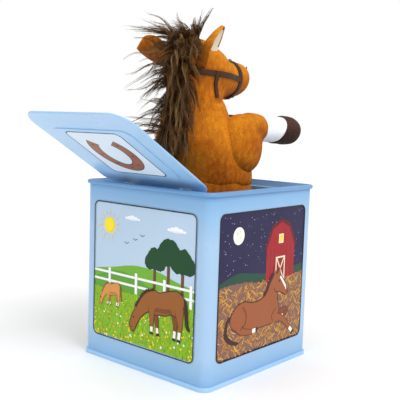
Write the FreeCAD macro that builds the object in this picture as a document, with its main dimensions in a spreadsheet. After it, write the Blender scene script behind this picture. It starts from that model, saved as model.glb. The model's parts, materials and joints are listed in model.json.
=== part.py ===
import FreeCAD, Part
import math
import os
import re

import Sketcher

# Jack in the box: a square tin box with a plush horse on a spring, a hinged lid and a hand-cranked
# musical movement. Millimetres, +Z up, origin at the centre of the underside, -Y is the front,
# the lid is hinged along the back (+Y) and the crank is on the right (+X). Drawn popped open.

Vector = FreeCAD.Vector
ALONG_X = FreeCAD.Rotation(Vector(0, 1, 0), 90)
ALONG_Y = FreeCAD.Rotation(Vector(1, 0, 0), -90)

SIZES = {
    # tin box
    "box_width": 140, "box_height": 152.4, "corner_radius": 7, "sheet": 0.5,
    "seam_width": 1.5, "seam_height": 3.2, "bead_width": 2.2, "bead_height": 3.6,
    "ledge_drop": 5.3, "opening_half_x": 56, "opening_front": 57, "opening_back": 46,
    "opening_radius": 10, "lip_height": 4,
    # lid and hinge
    "lid_width": 115, "lid_length": 113.5, "lid_radius": 16.5, "lid_skirt": 1.4, "lid_overhang": 2.5,
    "lid_edge_fillet": 1.2, "lid_open_angle": 148.8, "panel_width": 85, "panel_length": 68.5,
    "panel_start": 24, "panel_rise": 0.6, "panel_radius": 8,
    "hinge_y": 52, "hinge_drop": 1.5, "knuckle_radius": 1.5, "hinge_pin_radius": 0.95,
    "leaf_centre_x": 32, "leaf_knuckle": 12, "leaf_width": 18, "leaf_depth": 12,
    # catch on the lid
    "catch_x": 50.8, "catch_width": 6, "catch_y": 10.3, "catch_thickness": 1, "catch_bottom": 136.5,
    "catch_window_half": 1.6, "catch_window_low": 138, "catch_window_high": 141.8, "catch_foot": 10,
    # puppet spring and sleeve
    "puppet_y": 2, "wire_radius": 0.9, "spring_radius": 29, "spring_bottom": 4.2, "spring_top": 163.4,
    "spring_turns": 6, "sleeve_radius": 40, "sleeve_wall": 1, "sleeve_bottom": 2.6,
    "sleeve_top": 164.5, "seat_radius": 36, "seat_thickness": 0.8, "tab_thickness": 0.6,
    "cap_bottom": 165, "cap_thickness": 3, "cap_radius": 37,
    # plush horse
    "torso_top": 218, "torso_radius": 37, "torso_lean": 8, "neck_radius": 25, "neck_y": 14,
    "cranium_radius": 27, "cranium_y": 15, "cranium_z": 246, "muzzle_radius": 19.5,
    "muzzle_front": 50, "muzzle_z": 243, "hair_depth": 2.2, "hair_half_x": 14,
    "leg_gap_x": 18.5, "leg_gap_y": 8, "leg_x": 33, "leg_pivot_y": 14, "leg_pivot_z": 196,
    "lobe_half_x": 14, "lobe_half_y": 21, "lobe_half_z": 20.5, "lobe_y": 22, "lobe_z": 189,
    "sock_radius": 12.3, "hoof_radius": 12.5,
    "leg_z": 201, "sock_start": 40, "hoof_start": 68, "hoof_end": 93,
    # crank
    "crank_z": 78, "rod_radius": 2, "crank_reach": 82, "crank_throw": 32, "crank_bend": 5,
    "grip_end": 109, "knob_start": 89.5, "knob_end": 107.3, "knob_radius": 9,
    "bush_radius": 4, "bush_flange": 6.5, "run_gap": 0.05,
    # musical movement
    "plate_in": 49, "plate_thickness": 1, "plate_front": 10, "plate_back": 60, "plate_low": 54,
    "plate_high": 122, "gear_in": 64.5, "gear_face": 3, "tooth_module": 0.8,
    "pinion_teeth": 10, "drum_teeth": 50, "arbor_radius": 1.5, "drum_in": 52.8, "drum_out": 63,
    "drum_radius": 12, "drum_pin_height": 0.8, "drum_pin_radius": 0.3, "drum_pin_count": 24,
    "cam_in": 50.4, "cam_face": 1, "cam_radius": 5, "cam_reach": 16,
    "comb_tip_gap": 0.4, "comb_root": 47, "comb_back": 58, "comb_thickness": 1.4,
    "tine_thickness": 0.6, "tine_width": 0.45, "tine_pitch": 0.7, "tine_count": 14,
    "spacer_radius": 2.5, "screw_radius": 1.25, "screw_head": 2.6, "screw_head_height": 1.2,
    # latch
    "latch_y": 2, "latch_z": 112, "lever_in": 50.2, "lever_face": 1.2, "latch_pin_radius": 1.5,
    "latch_nose_z": 139.8, "latch_nose_height": 1.8, "latch_nose_tip": 7,
}

TAB_START = 90
PLATE_SPACER_PLACES = ((-6, 58), (56, 58), (56, 118), (-6, 98))

doc = FreeCAD.newDocument("jack_in_the_box")
finished = []


def fill_sheet():
    sheet = doc.addObject("Spreadsheet::Sheet", "Sizes")
    for row, (alias, number) in enumerate(SIZES.items(), start=1):
        sheet.set(f"A{row}", alias)
        sheet.set(f"B{row}", str(number))
        sheet.setAlias(f"B{row}", alias)
    doc.recompute()
    return sheet


sheet = fill_sheet()


# ---------------------------------------------------------------- expressions and placement

def bound(text):
    """An expression written with bare size names, as a reference to the sheet."""
    def qualify(word):
        return "Sizes." + word.group() if word.group() in SIZES else word.group()
    return re.sub(r"\b[a-z][a-z_0-9]*\b", qualify, str(text))


def value(text):
    result = sheet.evalExpression(bound(text))
    return float(getattr(result, "Value", result))


def bind(obj, **expressions):
    for name, text in expressions.items():
        obj.setExpression(name.replace("__", "."), bound(text))


def place(obj, x="0", y="0", z="0", turn=FreeCAD.Rotation()):
    obj.Placement = FreeCAD.Placement(Vector(value(x), value(y), value(z)), turn)
    bind(obj, Placement__Base__x=x, Placement__Base__y=y, Placement__Base__z=z)
    return obj


def finish(obj, label):
    obj.Label = label
    finished.append(obj)
    return obj


# ---------------------------------------------------------------- primitives and booleans

def block(name, x0, x1, y0, y1, z0, z1):
    obj = doc.addObject("Part::Box", name)
    bind(obj, Length=f"({x1}) - ({x0})", Width=f"({y1}) - ({y0})", Height=f"({z1}) - ({z0})")
    return place(obj, x0, y0, z0)


def rod(name, direction, radius, start, end, a, b):
    """A cylinder along X, Y or Z from start to end; a and b are its other two coordinates."""
    obj = doc.addObject("Part::Cylinder", name)
    bind(obj, Radius=radius, Height=f"({end}) - ({start})")
    if direction == "x":
        return place(obj, start, a, b, ALONG_X)
    if direction == "y":
        return place(obj, a, start, b, ALONG_Y)
    return place(obj, a, b, start)


def ball(name, radius, x, y, z):
    obj = doc.addObject("Part::Sphere", name)
    bind(obj, Radius=radius)
    return place(obj, x, y, z)


def egg(name, half_x, half_y, half_z, x, y, z):
    """An ellipsoid; Part's own one takes its Z half size first."""
    obj = doc.addObject("Part::Ellipsoid", name)
    obj.Angle1 = -90
    bind(obj, Radius1=half_z, Radius2=half_x, Radius3=half_y)
    return place(obj, x, y, z)


def fuse(name, *shapes):
    obj = doc.addObject("Part::MultiFuse", name)
    obj.Shapes = list(shapes)
    return obj


def cut(name, base, tool):
    obj = doc.addObject("Part::Cut", name)
    obj.Base = base
    obj.Tool = tool
    return obj


def group(name, members):
    obj = doc.addObject("Part::Compound", name)
    obj.Links = members
    return obj


# ---------------------------------------------------------------- bodies, sketches and features

def new_body(name):
    return doc.addObject("PartDesign::Body", name)


def sketch_on(body, name, role, x="0", y="0", z="0"):
    sketch = body.newObject("Sketcher::SketchObject", name)
    plane = next(f for f in body.Origin.OriginFeatures if f.Role == role)
    sketch.AttachmentSupport = (plane, [""])
    sketch.MapMode = "FlatFace"
    bind(sketch, AttachmentOffset__Base__x=x, AttachmentOffset__Base__y=y,
         AttachmentOffset__Base__z=z)
    return sketch


def dimension(sketch, kind, text, *where):
    index = sketch.addConstraint(Sketcher.Constraint(kind, *where, value(text)))
    sketch.setExpression(f"Constraints[{index}]", bound(text))


def circle(sketch, radius, x="0", y="0"):
    centre = Vector(value(x), value(y), 0)
    n = sketch.addGeometry(Part.Circle(centre, Vector(0, 0, 1), value(radius)), False)
    dimension(sketch, "Radius", radius, n)
    dimension(sketch, "DistanceX", x, -1, 1, n, 3)
    dimension(sketch, "DistanceY", y, -1, 1, n, 3)


def polygon(sketch, points):
    corners = [Vector(value(x), value(y), 0) for x, y in points]
    first = sketch.GeometryCount
    count = len(points)
    for i in range(count):
        sketch.addGeometry(Part.LineSegment(corners[i], corners[(i + 1) % count]), False)
    for i in range(count):
        following = first + (i + 1) % count
        sketch.addConstraint(Sketcher.Constraint("Coincident", first + i, 2, following, 1))
        dimension(sketch, "DistanceX", points[i][0], -1, 1, first + i, 1)
        dimension(sketch, "DistanceY", points[i][1], -1, 1, first + i, 1)


def rounded_rectangle(sketch, width, length, radius):
    """A rectangle centred on the sketch origin with four equal corner arcs."""
    half_x = value(width) / 2
    half_y = value(length) / 2
    r = value(radius)
    sides = (
        (-half_x + r, -half_y, half_x - r, -half_y),
        (half_x, -half_y + r, half_x, half_y - r),
        (half_x - r, half_y, -half_x + r, half_y),
        (-half_x, half_y - r, -half_x, -half_y + r),
    )
    centres = ((1, -1), (1, 1), (-1, 1), (-1, -1))
    first = sketch.GeometryCount
    for i, (x0, y0, x1, y1) in enumerate(sides):
        sketch.addGeometry(Part.LineSegment(Vector(x0, y0, 0), Vector(x1, y1, 0)), False)
        centre = Vector(centres[i][0] * (half_x - r), centres[i][1] * (half_y - r), 0)
        corner = Part.Circle(centre, Vector(0, 0, 1), r)
        start = math.radians(90 * (i - 1))
        sketch.addGeometry(Part.ArcOfCircle(corner, start, start + math.pi / 2), False)
    for i in range(4):
        side = first + 2 * i
        sketch.addConstraint(Sketcher.Constraint("Tangent", side, 2, side + 1, 1))
        following = first + (2 * i + 2) % 8
        sketch.addConstraint(Sketcher.Constraint("Tangent", side + 1, 2, following, 1))
    for side, kind in ((0, "Horizontal"), (4, "Horizontal"), (2, "Vertical"), (6, "Vertical")):
        sketch.addConstraint(Sketcher.Constraint(kind, first + side))
    for arc in (3, 5, 7):
        sketch.addConstraint(Sketcher.Constraint("Equal", first + 1, first + arc))
    sketch.addConstraint(Sketcher.Constraint("Symmetric", first + 1, 3, first + 5, 3, -1, 1))
    dimension(sketch, "Radius", radius, first + 1)
    dimension(sketch, "DistanceX", f"{width} - 2*({radius})", first + 5, 3, first + 1, 3)
    dimension(sketch, "DistanceY", f"{length} - 2*({radius})", first + 1, 3, first + 3, 3)


def pad(body, sketch, length):
    feature = body.newObject("PartDesign::Pad", "Pad")
    feature.Profile = sketch
    bind(feature, Length=length)
    doc.recompute()
    return feature


def pocket(body, sketch, length):
    """Cuts along the sketch normal, and fails if nothing was removed."""
    before = body.Shape.Volume
    feature = body.newObject("PartDesign::Pocket", "Pocket")
    feature.Profile = sketch
    feature.Reversed = True
    bind(feature, Length=length)
    doc.recompute()
    if body.Shape.Volume > before - 1e-3:
        raise RuntimeError(f"{body.Name}: a pocket cut nothing")
    return feature


def fillet(body, radius, wanted):
    """Rounds the edges of the body for which wanted(edge) is true."""
    base = body.Tip
    names = [f"Edge{i}" for i, edge in enumerate(base.Shape.Edges, start=1) if wanted(edge)]
    feature = body.newObject("PartDesign::Fillet", "Fillet")
    feature.Base = (base, names)
    bind(feature, Radius=radius)
    doc.recompute()
    return feature


def axis_of(body, role):
    return next(f for f in body.Origin.OriginFeatures if f.Role == role)


def polar(body, feature, role, count):
    pattern = body.newObject("PartDesign::PolarPattern", "Around")
    pattern.Originals = [feature]
    pattern.Axis = (axis_of(body, role), [""])
    pattern.Angle = 360
    bind(pattern, Occurrences=count)
    body.Tip = pattern
    doc.recompute()


def row(body, feature, role, length, count):
    pattern = body.newObject("PartDesign::LinearPattern", "Row")
    pattern.Originals = [feature]
    pattern.Direction = (axis_of(body, role), [""])
    bind(pattern, Length=length, Occurrences=count)
    body.Tip = pattern
    doc.recompute()


def lies_at(edge, z):
    """True for an edge that lies flat at height z."""
    return edge.BoundBox.ZLength < 1e-6 and abs(edge.valueAt(edge.FirstParameter).z - z) < 1e-4


def is_outer(edge, half):
    """True for an edge of a square outline's outside: a side at half, or the arc at its corner."""
    middle = edge.valueAt((edge.FirstParameter + edge.LastParameter) / 2)
    if max(abs(middle.x), abs(middle.y)) > half - 1e-4:
        return True
    radius = getattr(edge.Curve, "Radius", 0)
    reach = half - radius + radius * math.sqrt(0.5)
    return radius > 0 and abs(abs(middle.x) - reach) < 1e-3 and abs(abs(middle.y) - reach) < 1e-3


# ---------------------------------------------------------------- tin box

def base_plate():
    body = new_body("BasePlate")
    plate = sketch_on(body, "PlateOutline", "XY_Plane")
    side = "box_width + 2*seam_width"
    rounded_rectangle(plate, side, side, "corner_radius + seam_width")
    pad(body, plate, "sheet")
    seam = sketch_on(body, "SeamOutline", "XY_Plane", z="sheet")
    rounded_rectangle(seam, side, side, "corner_radius + seam_width")
    rounded_rectangle(seam, "box_width", "box_width", "corner_radius")
    pad(body, seam, "seam_height - sheet")
    half = value("box_width/2 + seam_width")
    fillet(body, "seam_width*0.7", lambda e: is_outer(e, half) and lies_at(e, value("seam_height")))
    return finish(body, "base_plate")


def tin_body():
    body = new_body("TinBody")
    wall = sketch_on(body, "WallOutline", "XY_Plane", z="sheet")
    inside = "box_width - 2*sheet"
    rounded_rectangle(wall, "box_width", "box_width", "corner_radius")
    rounded_rectangle(wall, inside, inside, "corner_radius - sheet")
    pad(body, wall, "box_height - sheet")
    bead = sketch_on(body, "BeadOutline", "XY_Plane", z="box_height - bead_height")
    outside = "box_width + 2*bead_width"
    rounded_rectangle(bead, outside, outside, "corner_radius + bead_width")
    rounded_rectangle(bead, inside, inside, "corner_radius - sheet")
    pad(body, bead, "bead_height")
    half = value("box_width/2 + bead_width")
    fillet(body, "bead_height*0.45", lambda e: is_outer(e, half) and e.BoundBox.ZLength < 1e-6)
    holes = sketch_on(body, "CrankHoles", "YZ_Plane", z="box_width/2 - 2*sheet")
    circle(holes, "bush_radius", "0", "crank_z")
    for y, z in PLATE_SPACER_PLACES:
        circle(holes, "screw_radius + run_gap", y, z)
    pocket(body, holes, "3*sheet")
    return finish(body, "tin_body")


def top_frame():
    body = new_body("TopFrame")
    inside = "box_width - 2*sheet"
    radius = "corner_radius - sheet"
    ledge = sketch_on(body, "LedgeOutline", "XY_Plane", z="box_height - ledge_drop - sheet")
    rounded_rectangle(ledge, inside, inside, radius)
    pad(body, ledge, "sheet")
    wall = sketch_on(body, "WallOutline", "XY_Plane", z="box_height - ledge_drop")
    rounded_rectangle(wall, inside, inside, radius)
    rounded_rectangle(wall, f"{inside} - 2*sheet", f"{inside} - 2*sheet", f"{radius} - sheet")
    pad(body, wall, "ledge_drop")
    middle = "(opening_back - opening_front)/2"
    lip = sketch_on(body, "LipOutline", "XY_Plane", y=middle,
                    z="box_height - ledge_drop - sheet - lip_height")
    rounded_rectangle(lip, "2*opening_half_x + 2*sheet",
                      "opening_back + opening_front + 2*sheet", "opening_radius + sheet")
    pad(body, lip, "lip_height")
    opening = sketch_on(body, "Opening", "XY_Plane", y=middle,
                        z="box_height - ledge_drop - sheet - lip_height")
    rounded_rectangle(opening, "2*opening_half_x", "opening_back + opening_front",
                      "opening_radius")
    pocket(body, opening, "lip_height + 2*sheet")
    rivets = sketch_on(body, "RivetHoles", "XY_Plane", z="box_height - ledge_drop - sheet")
    for sign in ("-", ""):
        for offset in ("-5", "5"):
            circle(rivets, "0.8", f"{sign}leaf_centre_x + ({offset})", "hinge_y + 8")
    pocket(body, rivets, "sheet")
    return finish(body, "top_frame")


def hinge_leaves():
    leaves = []
    for side in ("-", ""):
        centre = f"{side}leaf_centre_x"
        tag = "Right" if side == "-" else "Left"
        floor = "box_height - ledge_drop"
        plate = block(tag + "LeafPlate", f"{centre} - leaf_width/2", f"{centre} + leaf_width/2",
                      "hinge_y + knuckle_radius - sheet", "hinge_y + leaf_depth",
                      floor, f"{floor} + sheet")
        upstand = block(tag + "LeafUpstand", f"{centre} - leaf_knuckle/2",
                        f"{centre} + leaf_knuckle/2", "hinge_y + knuckle_radius - sheet",
                        "hinge_y + knuckle_radius", floor, "box_height - hinge_drop")
        knuckle = rod(tag + "LeafKnuckle", "x", "knuckle_radius", f"{centre} - leaf_knuckle/2",
                      f"{centre} + leaf_knuckle/2", "hinge_y", "box_height - hinge_drop")
        bore = rod(tag + "LeafBore", "x", "hinge_pin_radius + run_gap",
                   f"{centre} - leaf_knuckle/2 - 1", f"{centre} + leaf_knuckle/2 + 1",
                   "hinge_y", "box_height - hinge_drop")
        holes = [rod(f"{tag}LeafHole{i}", "z", "0.8", floor, f"{floor} + sheet",
                     f"{centre} + ({offset})", "hinge_y + 8")
                 for i, offset in enumerate(("-5", "5"))]
        solid = fuse(tag + "LeafSolid", plate, upstand, knuckle)
        leaves.append(cut(tag + "Leaf", solid, fuse(tag + "LeafHoles", bore, *holes)))
    return finish(group("HingeLeaves", leaves), "hinge_leaves")


def hinge_rivets():
    rivets = []
    for i, side in enumerate(("-", "")):
        for j, offset in enumerate(("-5", "5")):
            x = f"{side}leaf_centre_x + ({offset})"
            top = "box_height - ledge_drop + sheet"
            shank = rod(f"RivetShank{i}{j}", "z", "0.8", f"{top} - 2*sheet - 0.5", f"{top}",
                        x, "hinge_y + 8")
            head = rod(f"RivetHead{i}{j}", "z", "1.6", top, f"{top} + 0.6", x, "hinge_y + 8")
            tail = rod(f"RivetTail{i}{j}", "z", "1.3", f"{top} - 2*sheet - 0.5",
                       f"{top} - 2*sheet", x, "hinge_y + 8")
            rivets.append(fuse(f"Rivet{i}{j}", shank, head, tail))
    return finish(group("HingeRivets", rivets), "hinge_rivets")


# ---------------------------------------------------------------- lid, drawn in its own frame

def open_lid(obj):
    """Swings a piece drawn closed, with its origin on the hinge axis, to the open place."""
    swing = FreeCAD.Rotation(Vector(-1, 0, 0), value("lid_open_angle"))
    return place(obj, "0", "hinge_y", "box_height - hinge_drop", swing)


def lid_panel():
    body = new_body("LidPanel")
    middle = "lid_overhang - lid_length/2"
    top = "hinge_drop"
    shell = sketch_on(body, "LidOutline", "XY_Plane", y=middle, z=f"{top} - lid_skirt")
    rounded_rectangle(shell, "lid_width", "lid_length", "lid_radius")
    pad(body, shell, "lid_skirt")
    fillet(body, "lid_edge_fillet", lambda e: lies_at(e, value(top)))
    raised = sketch_on(body, "PanelOutline", "XY_Plane",
                       y="lid_overhang - panel_start - panel_length/2", z=top)
    rounded_rectangle(raised, "panel_width", "panel_length", "panel_radius")
    pad(body, raised, "panel_rise")
    hollow = sketch_on(body, "Hollow", "XY_Plane", y=middle, z=f"{top} - lid_skirt")
    rounded_rectangle(hollow, "lid_width - 2*sheet - 1", "lid_length - 2*sheet - 1",
                      "lid_radius - sheet - 0.5")
    pocket(body, hollow, "lid_skirt - sheet")
    under = sketch_on(body, "PanelHollow", "XY_Plane",
                      y="lid_overhang - panel_start - panel_length/2", z=f"{top} - sheet")
    rounded_rectangle(under, "panel_width - 2*sheet", "panel_length - 2*sheet",
                      "panel_radius - sheet")
    pocket(body, under, "panel_rise")
    notches = sketch_on(body, "Notches", "XY_Plane", z=f"{top} - lid_skirt")
    for side in ("-", ""):
        low = f"{side}leaf_centre_x - leaf_knuckle/2 - 0.4"
        high = f"{side}leaf_centre_x + leaf_knuckle/2 + 0.4"
        polygon(notches, ((low, "-4"), (high, "-4"), (high, "4"), (low, "4")))
    pocket(body, notches, "lid_skirt")
    curls = sketch_on(body, "Curls", "YZ_Plane", z="0 - leaf_centre_x + leaf_knuckle/2 + 0.4")
    circle(curls, "knuckle_radius - 0.1")
    circle(curls, "hinge_pin_radius")
    pad(body, curls, "2*leaf_centre_x - leaf_knuckle - 0.8")
    return finish(open_lid(body), "lid_panel")


def hinge_pin():
    half = "leaf_centre_x + leaf_knuckle/2 + 2"
    pin = rod("HingePin", "x", "hinge_pin_radius", f"0 - ({half})", half,
              "hinge_y", "box_height - hinge_drop")
    return finish(pin, "hinge_pin")


def lid_catch():
    """A bent steel tongue with a window for the latch nose, riveted under the lid."""
    body = new_body("LidCatch")
    hinge_z = "(box_height - hinge_drop)"
    back = "0 - catch_y - hinge_y"
    top = "hinge_drop - sheet"
    strap = sketch_on(body, "Strap", "XZ_Plane", z=f"0 - ({back}) - catch_thickness")
    left = "catch_x - catch_width/2"
    right = "catch_x + catch_width/2"
    low = f"catch_bottom - {hinge_z}"
    polygon(strap, ((left, low), (right, low), (right, top), (left, top)))
    low = f"catch_window_low - {hinge_z}"
    high = f"catch_window_high - {hinge_z}"
    left = "catch_x - catch_window_half"
    right = "catch_x + catch_window_half"
    polygon(strap, ((left, low), (right, low), (right, high), (left, high)))
    pad(body, strap, "catch_thickness")
    foot = sketch_on(body, "Foot", "XY_Plane", z=f"{top} - catch_thickness")
    left = "catch_x - catch_width/2 - 4"
    right = "catch_x + catch_width/2"
    polygon(foot, ((left, f"{back} - catch_foot"), (right, f"{back} - catch_foot"),
                   (right, f"{back} + catch_thickness"), (left, f"{back} + catch_thickness")))
    pad(body, foot, "catch_thickness")
    return finish(open_lid(body), "lid_catch")


def catch_rivets():
    """Two flush rivet heads that hold the catch foot to the lid from below."""
    rivets = []
    for i, x in enumerate(("catch_x - 4.5", "catch_x + 1")):
        y = "0 - catch_y - hinge_y - catch_foot/2"
        top = "hinge_drop - sheet - catch_thickness"
        head = rod(f"CatchRivet{i}", "z", "1.4", f"{top} - 0.6", top, x, y)
        rivets.append(head)
    return finish(open_lid(group("CatchRivets", rivets)), "catch_rivets")


# ---------------------------------------------------------------- spring and sleeve

def spring_seat():
    """A tin disc riveted to the base, with three tabs folded over the bottom coil."""
    disc = rod("SeatDisc", "z", "seat_radius", "sheet", "sheet + seat_thickness",
               "0", "0 - puppet_y")
    tabs = []
    for i in range(3):
        inside = "spring_radius + 2*wire_radius"
        outside = f"{inside} + tab_thickness"
        top = "spring_bottom + 2*wire_radius + 1.5*tab_thickness"
        stem = block(f"TabStem{i}", inside, outside, "0 - 3", "3", "sheet + seat_thickness", top)
        fold = block(f"TabFold{i}", "spring_radius - 1", outside, "0 - 3", "3",
                     f"{top} - tab_thickness", top)
        around = FreeCAD.Rotation(Vector(0, 0, 1), TAB_START + 120 * i)
        tabs.append(place(fuse(f"Tab{i}", stem, fold), "0", "0 - puppet_y", "0", around))
    return finish(fuse("SpringSeat", disc, *tabs), "spring_seat")


def seat_rivets():
    rivets = [rod(f"SeatRivet{i}", "z", "2.2", "sheet + seat_thickness",
                  "sheet + seat_thickness + 0.9", x, "0 - puppet_y")
              for i, x in enumerate(("0 - 14", "14"))]
    return finish(group("SeatRivets", rivets), "seat_rivets")


def coil(name, radius, wire, rise, turns, x, y, z, turn=FreeCAD.Rotation()):
    """A coil spring of half tori, tilted to and fro so that each meets the next in line."""
    tilt = math.degrees(math.asin(value(rise) / value(turns) / 2 / (2 * value(radius))))
    halves = []
    for i in range(int(2 * value(turns))):
        half = doc.addObject("Part::Torus", f"{name}Half{i}")
        half.Angle3 = 180
        bind(half, Radius1=radius, Radius2=wire)
        lean = FreeCAD.Rotation(Vector(0, 1, 0), -tilt if i % 2 else tilt)
        start = FreeCAD.Rotation(Vector(0, 0, 1), 180 if i % 2 else 0)
        halves.append(place(half, "0", "0", f"({rise})/({turns})*({i}/2 + 1/4)", lean * start))
    return place(fuse(name, *halves), x, y, z, turn)


def main_spring():
    spring = coil("MainSpring", "spring_radius", "wire_radius", "spring_top - spring_bottom",
                  "spring_turns", "0", "0 - puppet_y", "spring_bottom")
    return finish(spring, "main_spring")


def sleeve():
    outer = rod("SleeveOuter", "z", "sleeve_radius", "sleeve_bottom", "sleeve_top",
                "0", "0 - puppet_y")
    inner = rod("SleeveInner", "z", "sleeve_radius - sleeve_wall", "sleeve_bottom",
                "sleeve_top", "0", "0 - puppet_y")
    return finish(cut("Sleeve", outer, inner), "sleeve")


# ---------------------------------------------------------------- plush horse

def spring_cap():
    return finish(rod("SpringCap", "z", "cap_radius", "cap_bottom", "cap_bottom + cap_thickness",
                      "0", "0 - puppet_y"), "spring_cap")


def torso():
    """A leaning cone with a flat cut on each side that leaves room for the forelegs."""
    low = "cap_bottom + cap_thickness"
    body = new_body("Torso")
    bottom = sketch_on(body, "Waist", "XY_Plane", z=low)
    circle(bottom, "torso_radius", "0", "0 - puppet_y")
    chest = sketch_on(body, "Chest", "XY_Plane", z="leg_pivot_z")
    circle(chest, "torso_radius - 2", "0", "torso_lean")
    top = sketch_on(body, "Collar", "XY_Plane", z="torso_top")
    circle(top, "neck_radius - 1", "0", "neck_y")
    loft = body.newObject("PartDesign::AdditiveLoft", "Loft")
    loft.Profile = bottom
    loft.Sections = [chest, top]
    doc.recompute()
    gaps = sketch_on(body, "LegGaps", "XY_Plane", z=low)
    for side in ("0 - ", ""):
        polygon(gaps, ((f"{side}leg_gap_x", "0 - 2*torso_radius"),
                       (f"{side}2*torso_radius", "0 - 2*torso_radius"),
                       (f"{side}2*torso_radius", "leg_gap_y"), (f"{side}leg_gap_x", "leg_gap_y")))
    pocket(body, gaps, "2*torso_radius")
    return finish(body, "torso")


def head():
    """Cranium and muzzle on a short neck."""
    neck = rod("Neck", "z", "neck_radius - 1", "torso_top + 0.05", "cranium_z", "0", "neck_y")
    cranium = ball("Cranium", "cranium_radius", "0", "cranium_y", "cranium_z")
    muzzle = rod("Muzzle", "y", "muzzle_radius", "4 - muzzle_front", "cranium_y",
                 "0", "muzzle_z")
    nose = egg("Nose", "muzzle_radius", "4", "muzzle_radius", "0", "4 - muzzle_front", "muzzle_z")
    return finish(fuse("Head", neck, cranium, muzzle, nose), "head")


def ear(side, name):
    """A pointed ear standing on the side of the cranium."""
    sign = "0 - " if side < 0 else ""
    cone = doc.addObject("Part::Cone", "Cone" + name)
    bind(cone, Radius1="7", Radius2="1.5", Height="18")
    lean = FreeCAD.Rotation(Vector(0, 1, 0), side * 20)
    place(cone, f"{sign}21", "cranium_y + 4", "cranium_z + 21", lean)
    return finish(cone, name)


def mane():
    """The hair down the back of the head, as one plain curved shell behind it."""
    outer = ball("ManeOuter", "cranium_radius + hair_depth", "0", "cranium_y", "cranium_z")
    inner = ball("ManeInner", "cranium_radius + 0.05", "0", "cranium_y", "cranium_z")
    span = block("ManeSpan", "0 - hair_half_x", "hair_half_x", "cranium_y + 3",
                 "cranium_y + 2*cranium_radius", "cranium_z - 14", "cranium_z + 24")
    strip = doc.addObject("Part::Common", "ManeStrip")
    strip.Base = cut("ManeShell", outer, inner)
    strip.Tool = span
    return finish(strip, "mane")


def forelock():
    """The hair over the poll, as one plain disc above the cranium."""
    return finish(egg("Forelock", "12", "14", "3.5", "0", "cranium_y - 5", "cranium_z + 31"),
                  "forelock")


def bridle():
    """Two straps round the muzzle joined by a cheek strap on each side."""
    straps = []
    for i, (front, back) in enumerate(((38, 33), (15, 10))):
        outer = rod(f"StrapOuter{i}", "y", "muzzle_radius + 1", f"0 - {front}", f"0 - {back}",
                    "0", "muzzle_z")
        inner = rod(f"StrapInner{i}", "y", "muzzle_radius + 0.05", f"0 - {front}", f"0 - {back}",
                    "0", "muzzle_z")
        straps.append(cut(f"Strap{i}", outer, inner))
    for i, side in enumerate(("0 - ", "")):
        near = f"{side}(muzzle_radius + {'1' if side else '0.05'})"
        far = f"{side}(muzzle_radius + {'0.05' if side else '1'})"
        straps.append(block(f"CheekStrap{i}", near, far, "0 - 34", "0 - 14",
                            "muzzle_z - 2", "muzzle_z + 2"))
    return finish(fuse("Bridle", *straps), "bridle")


def eyes():
    balls = [ball("EyeRight", "2.6", "0 - 17", "0 - 6", "muzzle_z + 23"),
             ball("EyeLeft", "2.6", "17", "0 - 6", "muzzle_z + 23")]
    return finish(group("Eyes", balls), "eyes")


def foreleg(side, tag):
    """A stuffed foreleg held out forward: the upper leg, a white sock and a hoof."""
    sign = "0 - " if side < 0 else ""
    x = f"{sign}leg_x"
    lobe = egg(tag + "Shoulder", "lobe_half_x", "lobe_half_y", "lobe_half_z", x,
               "0 - lobe_y", "lobe_z")
    finish(lobe, tag + "_upper_leg")
    long_sock = rod(tag + "SockLength", "y", "sock_radius", "0 - hoof_start", "0 - sock_start + 12",
                    x, "leg_z")
    shoulder = egg(tag + "SockSeat", "lobe_half_x + 0.05", "lobe_half_y + 0.05",
                   "lobe_half_z + 0.05", x, "0 - lobe_y", "lobe_z")
    finish(cut(tag + "Sock", long_sock, shoulder), tag + "_sock")
    hoof = rod(tag + "Hoof", "y", "hoof_radius", "0 - hoof_end", "0 - hoof_start - 0.05",
               x, "leg_z")
    finish(hoof, tag + "_hoof")


# ---------------------------------------------------------------- crank and knob

def crank_rod():
    """A bent steel rod: through the wall, down the throw and out again as the grip axle."""
    body = new_body("CrankRod")
    path = sketch_on(body, "Path", "XZ_Plane")
    start = "plate_in + 0.1"
    z0 = "crank_z"
    z1 = "crank_z - crank_throw"
    add_line(path, (start, z0), ("crank_reach - crank_bend", z0))
    add_corner(path, "crank_reach - crank_bend", "crank_z - crank_bend", 0, 90)
    add_line(path, ("crank_reach", "crank_z - crank_bend"),
             ("crank_reach", "crank_z - crank_throw + crank_bend"))
    add_corner(path, "crank_reach + crank_bend", "crank_z - crank_throw + crank_bend", 180, 270)
    add_line(path, ("crank_reach + crank_bend", z1), ("grip_end", z1))
    section = sketch_on(body, "Section", "YZ_Plane", z=start)
    circle(section, "rod_radius", "0", "crank_z")
    doc.recompute()
    pipe = body.newObject("PartDesign::AdditivePipe", "Pipe")
    pipe.Profile = section
    pipe.Spine = (path, [])
    doc.recompute()
    return finish(body, "crank_rod")


def add_line(sketch, start, end):
    points = [Vector(value(x), value(y), 0) for x, y in (start, end)]
    n = sketch.addGeometry(Part.LineSegment(*points), False)
    for place_no, (x, y) in enumerate((start, end), start=1):
        dimension(sketch, "DistanceX", x, -1, 1, n, place_no)
        dimension(sketch, "DistanceY", y, -1, 1, n, place_no)


def add_corner(sketch, x, y, first, last):
    """A quarter arc of the crank's bend radius about a centre."""
    bend = Part.Circle(Vector(value(x), value(y), 0), Vector(0, 0, 1), value("crank_bend"))
    arc = Part.ArcOfCircle(bend, math.radians(first), math.radians(last))
    n = sketch.addGeometry(arc, False)
    dimension(sketch, "Radius", "crank_bend", n)
    dimension(sketch, "DistanceX", x, -1, 1, n, 3)
    dimension(sketch, "DistanceY", y, -1, 1, n, 3)


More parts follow.
